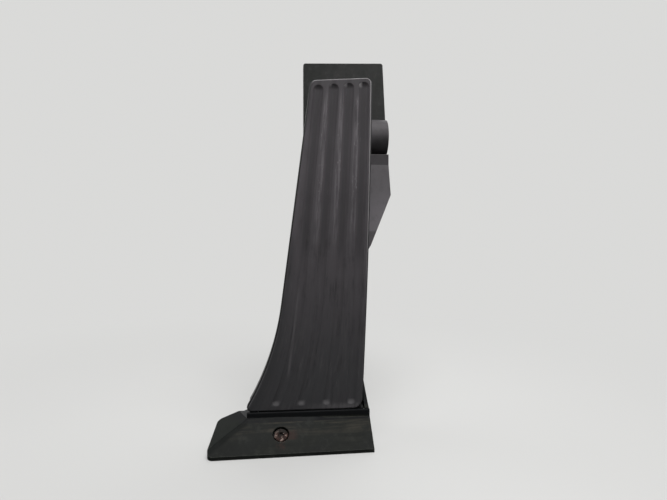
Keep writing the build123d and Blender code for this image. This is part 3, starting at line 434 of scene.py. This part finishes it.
def tread_rubber():
    finish = TreadFinish("tread_rubber")
    body = finish.drifts(finish.ground())
    body = finish.scratches(finish.flutes(body))
    finish.colour(finish.lit_edge(finish.low_end(body)))
    finish.rough(finish.span(finish.worn, 0.0, 1.0, 0.66, 0.52))
    finish.set(Specular_IOR_Level=0.10)
    grain = finish.noise(2600.0, detail=2.0)
    layers = [(finish.streaks, 0.12 * MM, 0.25), (finish.fine, 0.05 * MM, 0.35)]
    finish.bumps(layers + [(grain, 0.05 * MM, 0.35)])
    return finish.material


# Zones of the frame, measured from the hinge's middle
TALL_Z = (HINGE.z + 15.0 * MM, HINGE.z + 80.0 * MM)
FOOT_RIGHT_X = (HINGE.x + 8.0 * MM, HINGE.x + 40.0 * MM)
FOOT_FRONT_Z = (HINGE.z - 9.0 * MM, HINGE.z - 15.0 * MM)
FOOT_EDGE_Z = (HINGE.z - 9.0 * MM, HINGE.z - 13.0 * MM)
SLOPE_LOW = HINGE.z + 122.0 * MM
SLOPE_HIGH = HINGE.z + 168.0 * MM
SLOPE_START = (SLOPE_LOW - 1.5 * MM, SLOPE_LOW)
WALL_X = (HINGE.x + 2.0 * MM, HINGE.x + 40.0 * MM)
BACK_FACE_Y = HINGE.y + 96.0 * MM
WALL_Y = (BACK_FACE_Y - 14.0 * MM, BACK_FACE_Y - 1.0 * MM)
DUST_Z = (HINGE.z - 6.0 * MM, HINGE.z + 1.0 * MM, 5.0 * MM)

# Crease beside the foot's left facet, with painted shade on the facet and darker painted shade in the fold along
# it
CREASE_X = HINGE.x - 39.5 * MM
CREASE_Z = HINGE.z - 3.8 * MM
CREASE_SLOPE = 0.53
CREASE_END = (CREASE_X + 1.5 * MM, CREASE_X)
FACET_OVER = (-1.0 * MM, 0.8 * MM)
FOLD_OVER = (0.2 * MM, 2.0 * MM, 1.6 * MM)

# Rust stain that runs right and down from the screw's head: along and beside each run
RUN_RIGHT = (3.0 * MM, 8.0 * MM, 4.0 * MM)
RUN_RIGHT_BESIDE = (-1.5 * MM, 1.5 * MM, 1.0 * MM)
RUN_DOWN = (1.0 * MM, 5.0 * MM, 2.0 * MM)
RUN_DOWN_BESIDE = (-2.0 * MM, 1.5 * MM, 2.0 * MM)

# Black lip before the hinge, and painted shade under it and in the corner behind it
LIP_MIDDLE_Y = HINGE.y - 6.5 * MM
LIP_Y = (LIP_MIDDLE_Y - 1.2 * MM, LIP_MIDDLE_Y + 1.4 * MM, 0.3 * MM)
LIP_Z = (HINGE.z - 0.8 * MM, HINGE.z + 2.6 * MM, 0.3 * MM)
UNDER_LIP_SHADE_X = (HINGE.x + 16.0 * MM, HINGE.x + 4.0 * MM)
UNDER_LIP_SHADE_TOP = (-2.5 * MM, -0.9 * MM)
UNDER_LIP_SHADE_END = (-3.4 * MM, -3.0 * MM)
UNDER_LIP_SHADE_Y = (LIP_MIDDLE_Y - 5.0 * MM, LIP_MIDDLE_Y - 0.8 * MM, 0.3 * MM)
CORNER_Y = (LIP_MIDDLE_Y + 1.0 * MM, LIP_MIDDLE_Y + 2.5 * MM)
CORNER_Z = (HINGE.z - 2.0 * MM, HINGE.z + 26.0 * MM, 4.0 * MM)

# Tones of the frame, as a pair where two of them are mixed
# The foot's darker tones are a painted shadow, and its shade tone is painted shade
FOOT_TONES = (0.0056, 0.0064, 0.0056), (0.0118, 0.0129, 0.0112)
FOOT_SHADE = (0.0038, 0.0044, 0.0040)
UPPER_TONES = (0.064, 0.060, 0.0635), (0.077, 0.072, 0.0760)
SLOPE_LIGHT = (0.135, 0.126, 0.136)
UNDERSIDE_SHADE = (0.022, 0.0215, 0.022)
TOP_DARK = (0.038, 0.0360, 0.038)
WALL_LEFT_TONES = (0.021, 0.0220, 0.0210), (0.027, 0.0280, 0.0265)
WALL_RIGHT_TONES = (0.030, 0.0305, 0.0295), (0.037, 0.0375, 0.0360)
SPOT_DARK = (0.0040, 0.0044, 0.0041)
SPOT_PALE_TONES = (0.030, 0.031, 0.027), (0.105, 0.099, 0.104)
FACET_SHADE = (0.0040, 0.0052, 0.0042)
FOLD_SHADE = (0.0012, 0.0020, 0.0015)
HINGE_DUST = (0.040, 0.035, 0.027)
SETTLED_DUST = (0.034, 0.034, 0.029)
RUST_STAIN = (0.032, 0.0165, 0.0135)
RUB_HIGHLIGHT_TONES = (0.085, 0.090, 0.080), (0.125, 0.120, 0.122)
LIP_BLACK = (0.0030, 0.0034, 0.0040)


class FrameFinish(Finish):
    """Plastic of the frame: darker at the foot as a painted shadow and dusty there, with painted light on the
    slope high up.
    """

    def __init__(self, name):
        super().__init__(name)
        self.mottle = self.noise(34.0, detail=5.0, rough=0.62)
        self.patch = self.noise(70.0, (1.0, 1.0, 1.6), 4.0, 0.6)
        self.drag = self.noise(1.0, (24.0, 170.0, 640.0), 4.0, 0.62)
        self.spots = self.noise(190.0, (1.0, 1.0, 0.7), 4.0, 0.65)
        self.cloud = self.span(self.mottle, 0.3, 0.75)
        self.right, self.back, self.up = self.facing()
        self.tall = self.span(self.z, *TALL_Z)
        low = self.span(self.tall, 0.5, 0.0)
        crease = self.line(self.minus(self.x, CREASE_X), CREASE_SLOPE, CREASE_Z)
        self.over_crease = self.minus(self.z, crease)
        self.beside_crease = self.times(self.span(self.x, *CREASE_END), low)
        past_crease = self.times(self.span(self.over_crease, *FACET_OVER), self.beside_crease)
        left_face = self.times(self.span(self.right, -0.15, -0.33), low)
        self.facet = self.largest(past_crease, left_face)
        self.looks_up = self.times(self.span(self.up, 0.2, 0.9), self.minus(1.0, self.facet))

    def foot(self):
        # Darker than the upper frame as a painted shadow, with more painted shade to the right and toward the
        # front edge
        tone = self.clouds(self.cloud, *FOOT_TONES)
        to_right = self.span(self.x, *FOOT_RIGHT_X, 0.0, 0.6)
        to_front = self.span(self.z, *FOOT_FRONT_Z, 0.0, 0.4)
        shade = self.largest(to_right, to_front)
        return self.coat(tone, FOOT_SHADE, shade, self.span(self.patch, 0.30, 0.60, 0.6, 1.0))

    def upper(self):
        tone = self.clouds(self.cloud, *UPPER_TONES)
        # Painted light on the front-facing slope, brighter toward its lower end
        slope = self.times(self.span(self.z, SLOPE_HIGH, SLOPE_LOW), self.span(self.back, -0.80, -0.92))
        tone = self.coat(tone, SLOPE_LIGHT, slope, self.span(self.z, *SLOPE_START), 0.75)
        # Painted shade on faces that look down
        tone = self.coat(tone, UNDERSIDE_SHADE, self.span(self.up, 0.2, -0.3, 0.0, 0.55))
        return self.coat(tone, TOP_DARK, self.span(self.up, 0.50, 0.85, 0.0, 0.40))

    def wall(self):
        left = self.clouds(self.cloud, *WALL_LEFT_TONES)
        right = self.clouds(self.cloud, *WALL_RIGHT_TONES)
        return self.mix(self.span(self.x, *WALL_X), left, right)

    def ground(self):
        body = self.mix(self.tall, self.foot(), self.upper())
        return self.mix(self.span(self.y, *WALL_Y), body, self.wall())

    def spotted(self, body):
        """Small dark and pale spots, fainter high up."""
        strength = self.span(self.tall, 0.0, 1.0, 1.0, 0.4)
        pale = self.clouds(self.tall, *SPOT_PALE_TONES)
        body = self.coat(body, SPOT_DARK, self.span(self.spots, 0.50, 0.34, 0.0, 0.35), strength)
        return self.mix(self.times(self.span(self.spots, 0.52, 0.68, 0.0, 0.30), strength), body, pale)

    def shaded_facet(self, body):
        # Painted shade on the left facet, and darker painted shade in the fold beside the crease
        body = self.coat(body, FACET_SHADE, self.facet, 0.75)
        fold = self.times(self.within(self.over_crease, *FOLD_OVER), self.beside_crease)
        return self.coat(body, FOLD_SHADE, fold, 0.8)

    def dusty(self, body):
        """Brown dust by the hinge, and a thin grey layer on all upper faces."""
        near = self.times(self.within(self.z, *DUST_Z), self.looks_up)
        patchy = self.span(self.patch, 0.35, 0.60)
        body = self.coat(body, HINGE_DUST, near, self.span(self.drag, 0.42, 0.62), patchy, 0.75)
        settled = self.times(self.looks_up, self.span(self.mottle, 0.45, 0.70))
        return self.coat(body, SETTLED_DUST, settled, self.span(self.drag, 0.36, 0.60, 0.3, 1.0), 0.25)

    def stained(self, body):
        beyond = self.minus(self.x, SCREW_HEAD.x)
        below = self.minus(SCREW_HEAD.z, self.z)
        right = self.times(self.within(beyond, *RUN_RIGHT), self.within(below, *RUN_RIGHT_BESIDE))
        down = self.times(self.within(below, *RUN_DOWN), self.within(beyond, *RUN_DOWN_BESIDE))
        runs = self.largest(right, down)
        return self.coat(body, RUST_STAIN, runs, self.looks_up, self.span(self.spots, 0.36, 0.56), 0.6)

    def rubbed(self, body):
        """Pale rubbed edges that are also painted highlights, high up and along the foot's front."""
        where = self.largest(self.tall, self.span(self.z, *FOOT_EDGE_Z))
        # Rubbed edges, whose pale colour is also a painted highlight
        rub = self.times(self.edge(0.7 * MM, 0.01, 0.12), where, 0.85)
        return self.mix(rub, body, self.clouds(self.tall, *RUB_HIGHLIGHT_TONES))

    def blackened(self, body):
        # A black lip, with painted shade under it on the ramp and in the corner behind it
        lip = self.times(self.within(self.y, *LIP_Y), self.within(self.z, *LIP_Z), 0.95)
        fall = self.minus(self.z, HINGE.z)
        under = self.math("LESS_THAN", fall, self.span(self.x, *UNDER_LIP_SHADE_X, *UNDER_LIP_SHADE_TOP))
        patchy = self.span(self.patch, 0.36, 0.54, 0.5, 0.95)
        under = self.times(under, self.span(fall, *UNDER_LIP_SHADE_END), patchy, self.within(self.y, *UNDER_LIP_SHADE_Y))
        corner = self.times(self.span(self.y, *CORNER_Y), self.span(self.up, 0.3, 0.6))
        corner = self.times(corner, self.within(self.z, *CORNER_Z), 0.9)
        return self.coat(body, LIP_BLACK, self.largest(lip, under, corner))


def frame_plastic():
    finish = FrameFinish("frame_plastic")
    body = finish.shaded_facet(finish.spotted(finish.ground()))
    body = finish.stained(finish.dusty(body))
    finish.colour(finish.blackened(finish.rubbed(body)))
    finish.rough(finish.span(finish.mottle, 0.3, 0.7, 0.44, 0.58))
    finish.set(Specular_IOR_Level=0.06)
    grain = finish.noise(1700.0, detail=2.0)
    finish.bumps([(finish.drag, 0.06 * MM, 0.30), (grain, 0.04 * MM, 0.28)], 0.5 * MM)
    return finish.material


# Moulded plastic of the other pieces
PALER = 1.45
BROWN_DUST = (0.085, 0.078, 0.068)
EDGE_RUB = (0.10, 0.10, 0.098)
# Painted shade round the hinge pin: its colour, and the distances from the axis over which it fades in
HINGE_SHADE_BLACK = (0.003, 0.003, 0.003)
HINGE_SHADE_REACH = (7.0 * MM, 4.5 * MM)


def hinge_shade(finish):
    """Share of painted shade round the hinge pin, by distance from its axis."""
    away = finish.distance(finish.minus(finish.y, HINGE.y), finish.minus(finish.z, HINGE.z))
    return finish.span(away, *HINGE_SHADE_REACH, 0.0, 0.9)


def moulded(name, body, rough, dust=0.25, worn=0.35, dusty=BROWN_DUST):
    """Plastic with dust on its upper faces, soft edges and fine grain."""
    finish = Finish(name)
    mottle = finish.noise(38.0, detail=5.0, rough=0.6)
    drag = finish.noise(1.0, (16.0, 60.0, 420.0), 4.0, 0.6)
    paler = tuple(PALER * part for part in body)
    colour = finish.clouds(finish.span(mottle, 0.3, 0.75), body, paler)
    up = finish.facing()["Z"]
    settled = finish.times(finish.span(up, 0.15, 0.95), finish.span(mottle, 0.42, 0.70))
    colour = finish.coat(colour, dusty, settled, finish.span(drag, 0.38, 0.62, 0.45, 1.0), dust)
    colour = finish.coat(colour, EDGE_RUB, finish.edge(0.6 * MM), worn)
    # Painted shade round the hinge pin
    finish.colour(finish.coat(colour, HINGE_SHADE_BLACK, hinge_shade(finish)))
    finish.rough(finish.span(mottle, 0.3, 0.7, rough - 0.07, rough + 0.10))
    finish.set(Specular_IOR_Level=0.15)
    grain = finish.noise(1900.0, detail=2.0)
    finish.bumps([(drag, 0.05 * MM, 0.25), (grain, 0.04 * MM, 0.30)], 0.45 * MM)
    return finish.material


# Rusty steel of the foot screw
RUST_TONES = (0.004, 0.0032, 0.0028), (0.040, 0.0195, 0.0150)
RUST_BARE = (0.22, 0.165, 0.145)
# Painted shade on the back half of the screw head, where it fades in, and how ragged its edge is
SCREW_HEAD_SHADE = (0.0110, 0.0112, 0.0100)
SCREW_HEAD_SHADE_Y = (0.6 * MM, 1.8 * MM)
RUST_RAGGED = 0.8 * MM


def rusty_steel():
    """Flaking rust with bare spots, and painted shade on the head's back half."""
    finish = Finish("rusty_steel")
    flakes = finish.noise(900.0, detail=6.0, rough=0.65)
    blotch = finish.noise(560.0, detail=4.0, rough=0.6)
    body = finish.clouds(finish.span(flakes, 0.42, 0.58), *RUST_TONES)
    body = finish.coat(body, RUST_BARE, finish.span(blotch, 0.56, 0.60, 0.0, 0.85))
    ragged = finish.span(flakes, 0.3, 0.7, -RUST_RAGGED, RUST_RAGGED)
    behind = finish.math("ADD", finish.minus(finish.y, SCREW_HEAD.y), ragged)
    finish.colour(finish.coat(body, SCREW_HEAD_SHADE, finish.span(behind, *SCREW_HEAD_SHADE_Y, 0.0, 0.75)))
    finish.rough(finish.span(flakes, 0.3, 0.7, 0.62, 0.88))
    finish.put(finish.span(blotch, 0.60, 0.70, 0.0, 0.40), finish.shader.inputs["Metallic"])
    finish.set(Specular_IOR_Level=0.15)
    finish.bumps([(flakes, 0.12 * MM, 0.8), (blotch, 0.10 * MM, 0.5)])
    return finish.material


def metal(name, body, rough, stretch=(60.0, 700.0, 700.0), dull=0.35):
    """Bare or plated metal with drawn lines and duller stains."""
    finish = Finish(name)
    lines = finish.noise(1.0, stretch, 4.0, 0.6)
    stain = finish.noise(160.0, detail=4.0, rough=0.6)
    duller = tuple(dull * part for part in body)
    finish.colour(finish.clouds(finish.span(stain, 0.50, 0.75, 0.0, 0.7), body, duller))
    finish.rough(finish.span(lines, 0.3, 0.7, rough - 0.08, rough + 0.14))
    finish.set(Metallic=1.0)
    finish.bumps([(lines, 0.02 * MM, 0.35)], 0.2 * MM)
    return finish.material


# Soft rubber of buffers and seal, and the circuit board with its paler tracks
BUFFER_TONES = (0.014, 0.014, 0.014), (0.034, 0.033, 0.032)
BOARD_TONES = (0.012, 0.085, 0.032), (0.018, 0.11, 0.045)
BOARD_TRACK = (0.05, 0.20, 0.085)


def soft_rubber():
    finish = Finish("buffer_rubber")
    bloom = finish.noise(120.0, detail=4.0, rough=0.6)
    grain = finish.noise(2200.0, detail=2.0)
    finish.colour(finish.clouds(finish.span(bloom, 0.4, 0.75), *BUFFER_TONES))
    finish.rough(finish.span(bloom, 0.3, 0.7, 0.68, 0.82))
    finish.bumps([(grain, 0.05 * MM, 0.4)], 0.4 * MM)
    return finish.material


def board_lacquer():
    finish = Finish("board")
    tracks = finish.cell_edges(420.0)
    cloud = finish.noise(80.0, detail=3.0)
    base = finish.clouds(finish.span(cloud, 0.35, 0.7), *BOARD_TONES)
    finish.colour(finish.coat(base, BOARD_TRACK, finish.span(tracks, 0.02, 0.07, 0.8, 0.0)))
    finish.rough(finish.span(tracks, 0.02, 0.07, 0.26, 0.34))
    finish.bumps([(tracks, 0.03 * MM, 0.4)])
    return finish.material


BUSH_DUST = (0.22, 0.19, 0.15)
MATERIALS = {
    "frame_plastic": frame_plastic(),
    "plate_plastic": moulded("plate_plastic", (0.021, 0.021, 0.0215), 0.50),
    "cover_plastic": moulded("cover_plastic", (0.040, 0.0395, 0.040), 0.46),
    "lever_plastic": moulded("lever_plastic", (0.042, 0.042, 0.044), 0.46, 0.15),
    "bush_plastic": moulded("bush_plastic", (0.40, 0.385, 0.34), 0.38, 0.2, 0.1, BUSH_DUST),
    "chip": moulded("chip", (0.012, 0.012, 0.0125), 0.40, 0.1, 0.2),
    "tread_rubber": tread_rubber(),
    "buffer_rubber": soft_rubber(),
    "rusty_steel": rusty_steel(),
    "steel": metal("steel", (0.30, 0.30, 0.296), 0.42),
    "zinc_steel": metal("zinc_steel", (0.55, 0.56, 0.57), 0.34, (500.0, 500.0, 500.0), 0.5),
    "spring_steel": metal("spring_steel", (0.20, 0.195, 0.19), 0.36, (300.0, 300.0, 300.0)),
    "magnet": metal("magnet", (0.16, 0.16, 0.165), 0.5, (400.0, 400.0, 400.0), 0.6),
    "board": board_lacquer(),
    "terminal_brass": metal("terminal_brass", (0.60, 0.45, 0.22), 0.26, (60.0, 900.0, 900.0), 0.6),
}


def dress(piece, slot):
    piece.data.materials.clear()
    piece.data.materials.append(MATERIALS[slot])


for node, slot in SLOTS.items():
    dress(NODES[node], slot)


# Meshes that take the place of plain solids
def piece_from(name, points, faces, slot):
    mesh = bpy.data.meshes.new(name)
    mesh.from_pydata(points, [], faces)
    mesh.validate()
    mesh.update()
    piece = bpy.data.objects.new(name, mesh)
    bpy.context.scene.collection.objects.link(piece)
    dress(piece, slot)
    return piece


def stacked_rings(rings):
    """Points and faces of a closed skin through rings of equal count, capped at both ends."""
    count = len(rings[0])
    points = [point for ring in rings for point in ring]
    faces = [tuple(reversed(range(count)))]
    for level in range(len(rings) - 1):
        base = level * count
        for step in range(count):
            after = (step + 1) % count
            faces.append((base + step, base + after, base + count + after, base + count + step))
    last = (len(rings) - 1) * count
    faces.append(tuple(range(last, last + count)))
    return points, faces


def smooth_by_angle(piece, angle):
    bpy.context.view_layer.objects.active = piece
    piece.select_set(True)
    bpy.ops.object.shade_smooth_by_angle(angle=angle)
    piece.select_set(False)


RING_STEPS = 48
SMOOTH_ANGLE = radians(40)
COVER_SMOOTH_ANGLE = radians(35)


def ring(radius_at, level, turn):
    """One ring of a screw in the part's frame: radius by angle, at a level along the screw's axis."""
    points = []
    for step in range(RING_STEPS):
        angle = 2 * pi * step / RING_STEPS
        radius = radius_at(angle)
        points.append(turn @ Vector((radius * cos(angle), radius * sin(angle), level)))
    return points


def plain(radius):
    return lambda angle: radius


def hexagon(radius):
    """Radius of a hexagon with that corner radius, by angle."""
    return lambda angle: radius * cos(pi / 6) / cos((angle % (pi / 3)) - pi / 6)


def cross(radius, half):
    """Radius of a four-armed cross with rounded valleys, by angle."""
    return lambda angle: half + (radius - half) * abs(cos(2 * angle)) ** CROSS_SHARPNESS


def threaded(root, crest, pitch, level):
    """Radius of a thread's ring at one level, by angle."""
    def radius(angle):
        phase = (level / pitch - angle / (2 * pi)) % 1.0
        flank = THREAD_CREST - abs(2 * phase - 1) * THREAD_FLANK
        return root + (crest - root) * min(1.0, max(0.0, flank))
    return radius


def axis_turn(up, place):
    """Matrix that takes the local Z axis to a direction, with the local X axis near X or Y."""
    side = Vector((1, 0, 0)) if abs(up.x) < 0.5 else Vector((0, 1, 0))
    front = up.cross(side).normalized()
    side = front.cross(up)
    return Matrix.Translation(place) @ Matrix((side, front, up)).transposed().to_4x4()


# Foot screw: thread, shoulder and rusty socket head
THREAD_R = SCREW["dims"]["r_mm"] * MM
THREAD_OUT = SCREW["dims"]["length_mm"] * MM
THREAD_ROOT = THREAD_R - 0.5 * MM
THREAD_PITCH = 1.0 * MM
THREAD_STEPS = 12
THREAD_CREST = 1.6
THREAD_FLANK = 2.2
SHOULDER_R = 3.4 * MM
SHOULDER_TOP = 2.2 * MM
HEAD_R = 4.5 * MM
HEAD_ROUND = 0.7 * MM
HEAD_ROUND_STEPS = 4
HEAD_FACE_RINGS = (0.66, 0.33)
DRIVE_R = 2.0 * MM
DRIVE_DEPTH = 1.4 * MM
RUST_LUMP = 0.10 * MM
RUST_SCALE = 900.0


def rusty_head(turn):
    """Rings of the head from its rounded rim to its socket, with rust lumps on them."""
    rings = []
    for step in range(HEAD_ROUND_STEPS + 1):
        angle = step * pi / 2 / HEAD_ROUND_STEPS
        radius = HEAD_R - HEAD_ROUND + HEAD_ROUND * cos(angle)
        rings.append(ring(plain(radius), HEAD_TOP - HEAD_ROUND + HEAD_ROUND * sin(angle), turn))
    for share in HEAD_FACE_RINGS:
        rings.append(ring(plain(DRIVE_R + share * (HEAD_R - HEAD_ROUND - DRIVE_R)), HEAD_TOP, turn))
    for point in [point for level in rings for point in level]:
        lump = solid_noise.noise(point * RUST_SCALE)
        point += turn.to_3x3() @ Vector((0, 0, -abs(lump) * RUST_LUMP))
    return rings


def make_foot_screw():
    turn = axis_turn(SCREW_UP, SCREW_PLACE)
    rings = [ring(plain(THREAD_ROOT), -THREAD_OUT, turn)]
    steps = int(THREAD_STEPS * THREAD_OUT / THREAD_PITCH)
    for step in range(1, steps):
        level = -THREAD_OUT + step * THREAD_OUT / steps
        rings.append(ring(threaded(THREAD_ROOT, THREAD_R, THREAD_PITCH, level), level, turn))
    rings += [ring(plain(THREAD_ROOT), 0.0, turn), ring(plain(SHOULDER_R), 0.0, turn)]
    rings += [ring(plain(SHOULDER_R), SHOULDER_TOP, turn), ring(plain(HEAD_R), SHOULDER_TOP, turn)]
    rings += rusty_head(turn)
    for level in (HEAD_TOP, HEAD_TOP - DRIVE_DEPTH):
        rings.append(ring(hexagon(DRIVE_R), level, turn))
    screw = piece_from("rusty_foot_screw", *stacked_rings(rings), "rusty_steel")
    smooth_by_angle(screw, SMOOTH_ANGLE)
    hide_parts("foot_screw")
    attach(screw, "frame")


# Cover screws with a cross recess that narrows to its floor
COVER_HEAD_R = 2.2 * MM
COVER_HEAD_H = 1.2 * MM
COVER_SHANK_R = 1.2 * MM
COVER_ROUND = 0.3 * MM
CROSS_R = 1.35 * MM
CROSS_HALF = 0.35 * MM
CROSS_DEPTH = 0.7 * MM
CROSS_SHARPNESS = 3
CROSS_FLOOR_R = 0.6 * CROSS_R
CROSS_FLOOR_HALF = 0.8 * CROSS_HALF


def make_cover_screws():
    low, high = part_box("cover_screws")
    corner = Vector((0, COVER_HEAD_R, COVER_HEAD_R))
    under = high.x - COVER_HEAD_H
    outline = [
        (plain(COVER_SHANK_R), low.x),
        (plain(COVER_SHANK_R), under),
        (plain(COVER_HEAD_R), under),
        (plain(COVER_HEAD_R), high.x - COVER_ROUND),
        (plain(COVER_HEAD_R - COVER_ROUND), high.x),
        (cross(CROSS_R, CROSS_HALF), high.x),
        (cross(CROSS_FLOOR_R, CROSS_FLOOR_HALF), high.x - CROSS_DEPTH),
    ]
    for number, place in enumerate([low + corner, high - corner], 1):
        turn = axis_turn(Vector((1, 0, 0)), Vector((0, place.y, place.z)))
        rings = [ring(radius_at, level, turn) for radius_at, level in outline]
        screw = piece_from(f"cover_screw_{number}", *stacked_rings(rings), "zinc_steel")
        smooth_by_angle(screw, COVER_SMOOTH_ANGLE)
        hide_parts("cover_screws")
        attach(screw, "frame")


# Springs of round wire about the lever's axle, between the frame and the lever
COIL_R = 10.4 * MM
COIL_PITCH = 2.2 * MM
COIL_TURNS = 2.1135
COIL_STEPS = 40
COIL_INNER = 5.75 * MM
WIRE_R = 0.85 * MM
WIRE_STEPS = 16
REST_LEG = 16.0 * MM
LUG_LEG = 27.0 * MM
WIRE_TIP = 0.25 * MM


def make_spring(node, name, mirror):
    rings = []

    def add_ring(centre, out, along, radius):
        side = along.cross(out)
        angles = [2 * pi * step / WIRE_STEPS for step in range(WIRE_STEPS)]
        rings.append([centre + radius * (cos(angle) * out + sin(angle) * side) for angle in angles])

    def coil(turns):
        angle = -2 * pi * turns
        out = Vector((0, cos(angle), sin(angle)))
        away = COIL_INNER + COIL_PITCH * (COIL_TURNS - turns)
        centre = HUB + COIL_R * out + Vector((mirror * away, 0, 0))
        along = Vector((-mirror * COIL_PITCH, 2 * pi * COIL_R * out.z, -2 * pi * COIL_R * out.y))
        return centre, out, along.normalized()

    first, first_out, first_along = coil(0.0)
    last, last_out, last_along = coil(COIL_TURNS)
    add_ring(first - REST_LEG * first_along, first_out, first_along, WIRE_R - WIRE_TIP)
    add_ring(first - (REST_LEG - WIRE_TIP) * first_along, first_out, first_along, WIRE_R)
    steps = int(COIL_TURNS * COIL_STEPS)
    for step in range(steps + 1):
        add_ring(*coil(COIL_TURNS * step / steps), WIRE_R)
    add_ring(last + (LUG_LEG - WIRE_TIP) * last_along, last_out, last_along, WIRE_R)
    add_ring(last + LUG_LEG * last_along, last_out, last_along, WIRE_R - WIRE_TIP)
    spring = piece_from(name, *stacked_rings(rings), "spring_steel")
    smooth_by_angle(spring, SMOOTH_ANGLE)
    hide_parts(node)
    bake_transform(spring)


make_foot_screw()
make_cover_screws()
make_spring("return_spring_left", "wound_spring_left", -1)
make_spring("return_spring_right", "wound_spring_right", 1)


# Floor, world, lights and camera
def seen_rays(nodes, links):
    """1 for rays that show the background, in view or in a reflection, and 0 for rays that light."""
    path = nodes.new("ShaderNodeLightPath")
    shown = path.outputs["Is Camera Ray"]
    for kind in ("Is Glossy Ray", "Is Transmission Ray"):
        most = nodes.new("ShaderNodeMath")
        most.operation = "MAXIMUM"
        links.new(shown, most.inputs[0])
        links.new(path.outputs[kind], most.inputs[1])
        shown = most.outputs[0]
    return shown


def floor_finish():
    finish = Finish("pale_floor")
    finish.colour(finish.clouds(finish.noise(3.0, detail=3.0), FLOOR_DARK, FLOOR_LIGHT))
    finish.rough(FLOOR_ROUGH)
    finish.set(Specular_IOR_Level=0.1)
    glow = finish.nodes.new("ShaderNodeEmission")
    glow.inputs["Color"].default_value = PALE
    finish.put(seen_rays(finish.nodes, finish.links), glow.inputs["Strength"])
    blend = finish.nodes.new("ShaderNodeMixShader")
    away = finish.distance(finish.x, finish.y)
    finish.put(finish.span(away, *FADE_REACH, *FADE_SHARE), blend.inputs[0])
    finish.put(finish.shader.outputs[0], blend.inputs[1])
    finish.put(glow.outputs[0], blend.inputs[2])
    finish.put(blend.outputs[0], finish.output.inputs["Surface"])
    return finish.material


def make_floor():
    half = FLOOR_SIZE / 2
    corners = [(-half, -half, 0), (half, -half, 0), (half, half, 0), (-half, half, 0)]
    mesh = bpy.data.meshes.new("floor")
    mesh.from_pydata(corners, [], [(0, 1, 2, 3)])
    floor = bpy.data.objects.new("floor", mesh)
    floor.location.z = cad_low.z
    floor.data.materials.append(floor_finish())
    bpy.context.scene.collection.objects.link(floor)


def make_world():
    world = bpy.data.worlds.new("studio")
    bpy.context.scene.world = world
    world.use_nodes = True
    nodes = world.node_tree.nodes
    links = world.node_tree.links
    nodes.clear()
    light = nodes.new("ShaderNodeBackground")
    light.inputs["Color"].default_value = rgb(1.0, 1.0, 1.0)
    light.inputs["Strength"].default_value = AMBIENT
    seen = nodes.new("ShaderNodeBackground")
    seen.inputs["Color"].default_value = PALE
    choose = nodes.new("ShaderNodeMixShader")
    links.new(seen_rays(nodes, links), choose.inputs[0])
    links.new(light.outputs[0], choose.inputs[1])
    links.new(seen.outputs[0], choose.inputs[2])
    output = nodes.new("ShaderNodeOutputWorld")
    links.new(choose.outputs[0], output.inputs["Surface"])


def make_light(name, place, size, power):
    light = bpy.data.lights.new(name, "AREA")
    light.shape = "DISK"
    light.size = size
    light.energy = power
    lamp = bpy.data.objects.new(name, light)
    lamp.location = place
    aim = (cad_low + cad_high) / 2 - place
    lamp.rotation_euler = aim.to_track_quat("-Z", "Y").to_euler()
    bpy.context.scene.collection.objects.link(lamp)


def make_camera():
    camera = bpy.data.cameras.new("camera")
    camera.sensor_width = SENSOR
    camera.lens = SENSOR * FOCAL_PIXELS / IMAGE_WIDTH
    camera.clip_start = CLIP_START
    holder = bpy.data.objects.new("camera", camera)
    holder.location = CAMERA_PLACE
    holder.rotation_euler = (pi / 2 - CAMERA_PITCH, 0.0, -CAMERA_YAW)
    bpy.context.scene.collection.objects.link(holder)
    bpy.context.scene.camera = holder


make_floor()
make_world()
for name, settings in LIGHTS.items():
    make_light(name, *settings)
make_camera()
bpy.context.scene.view_settings.view_transform = "Standard"
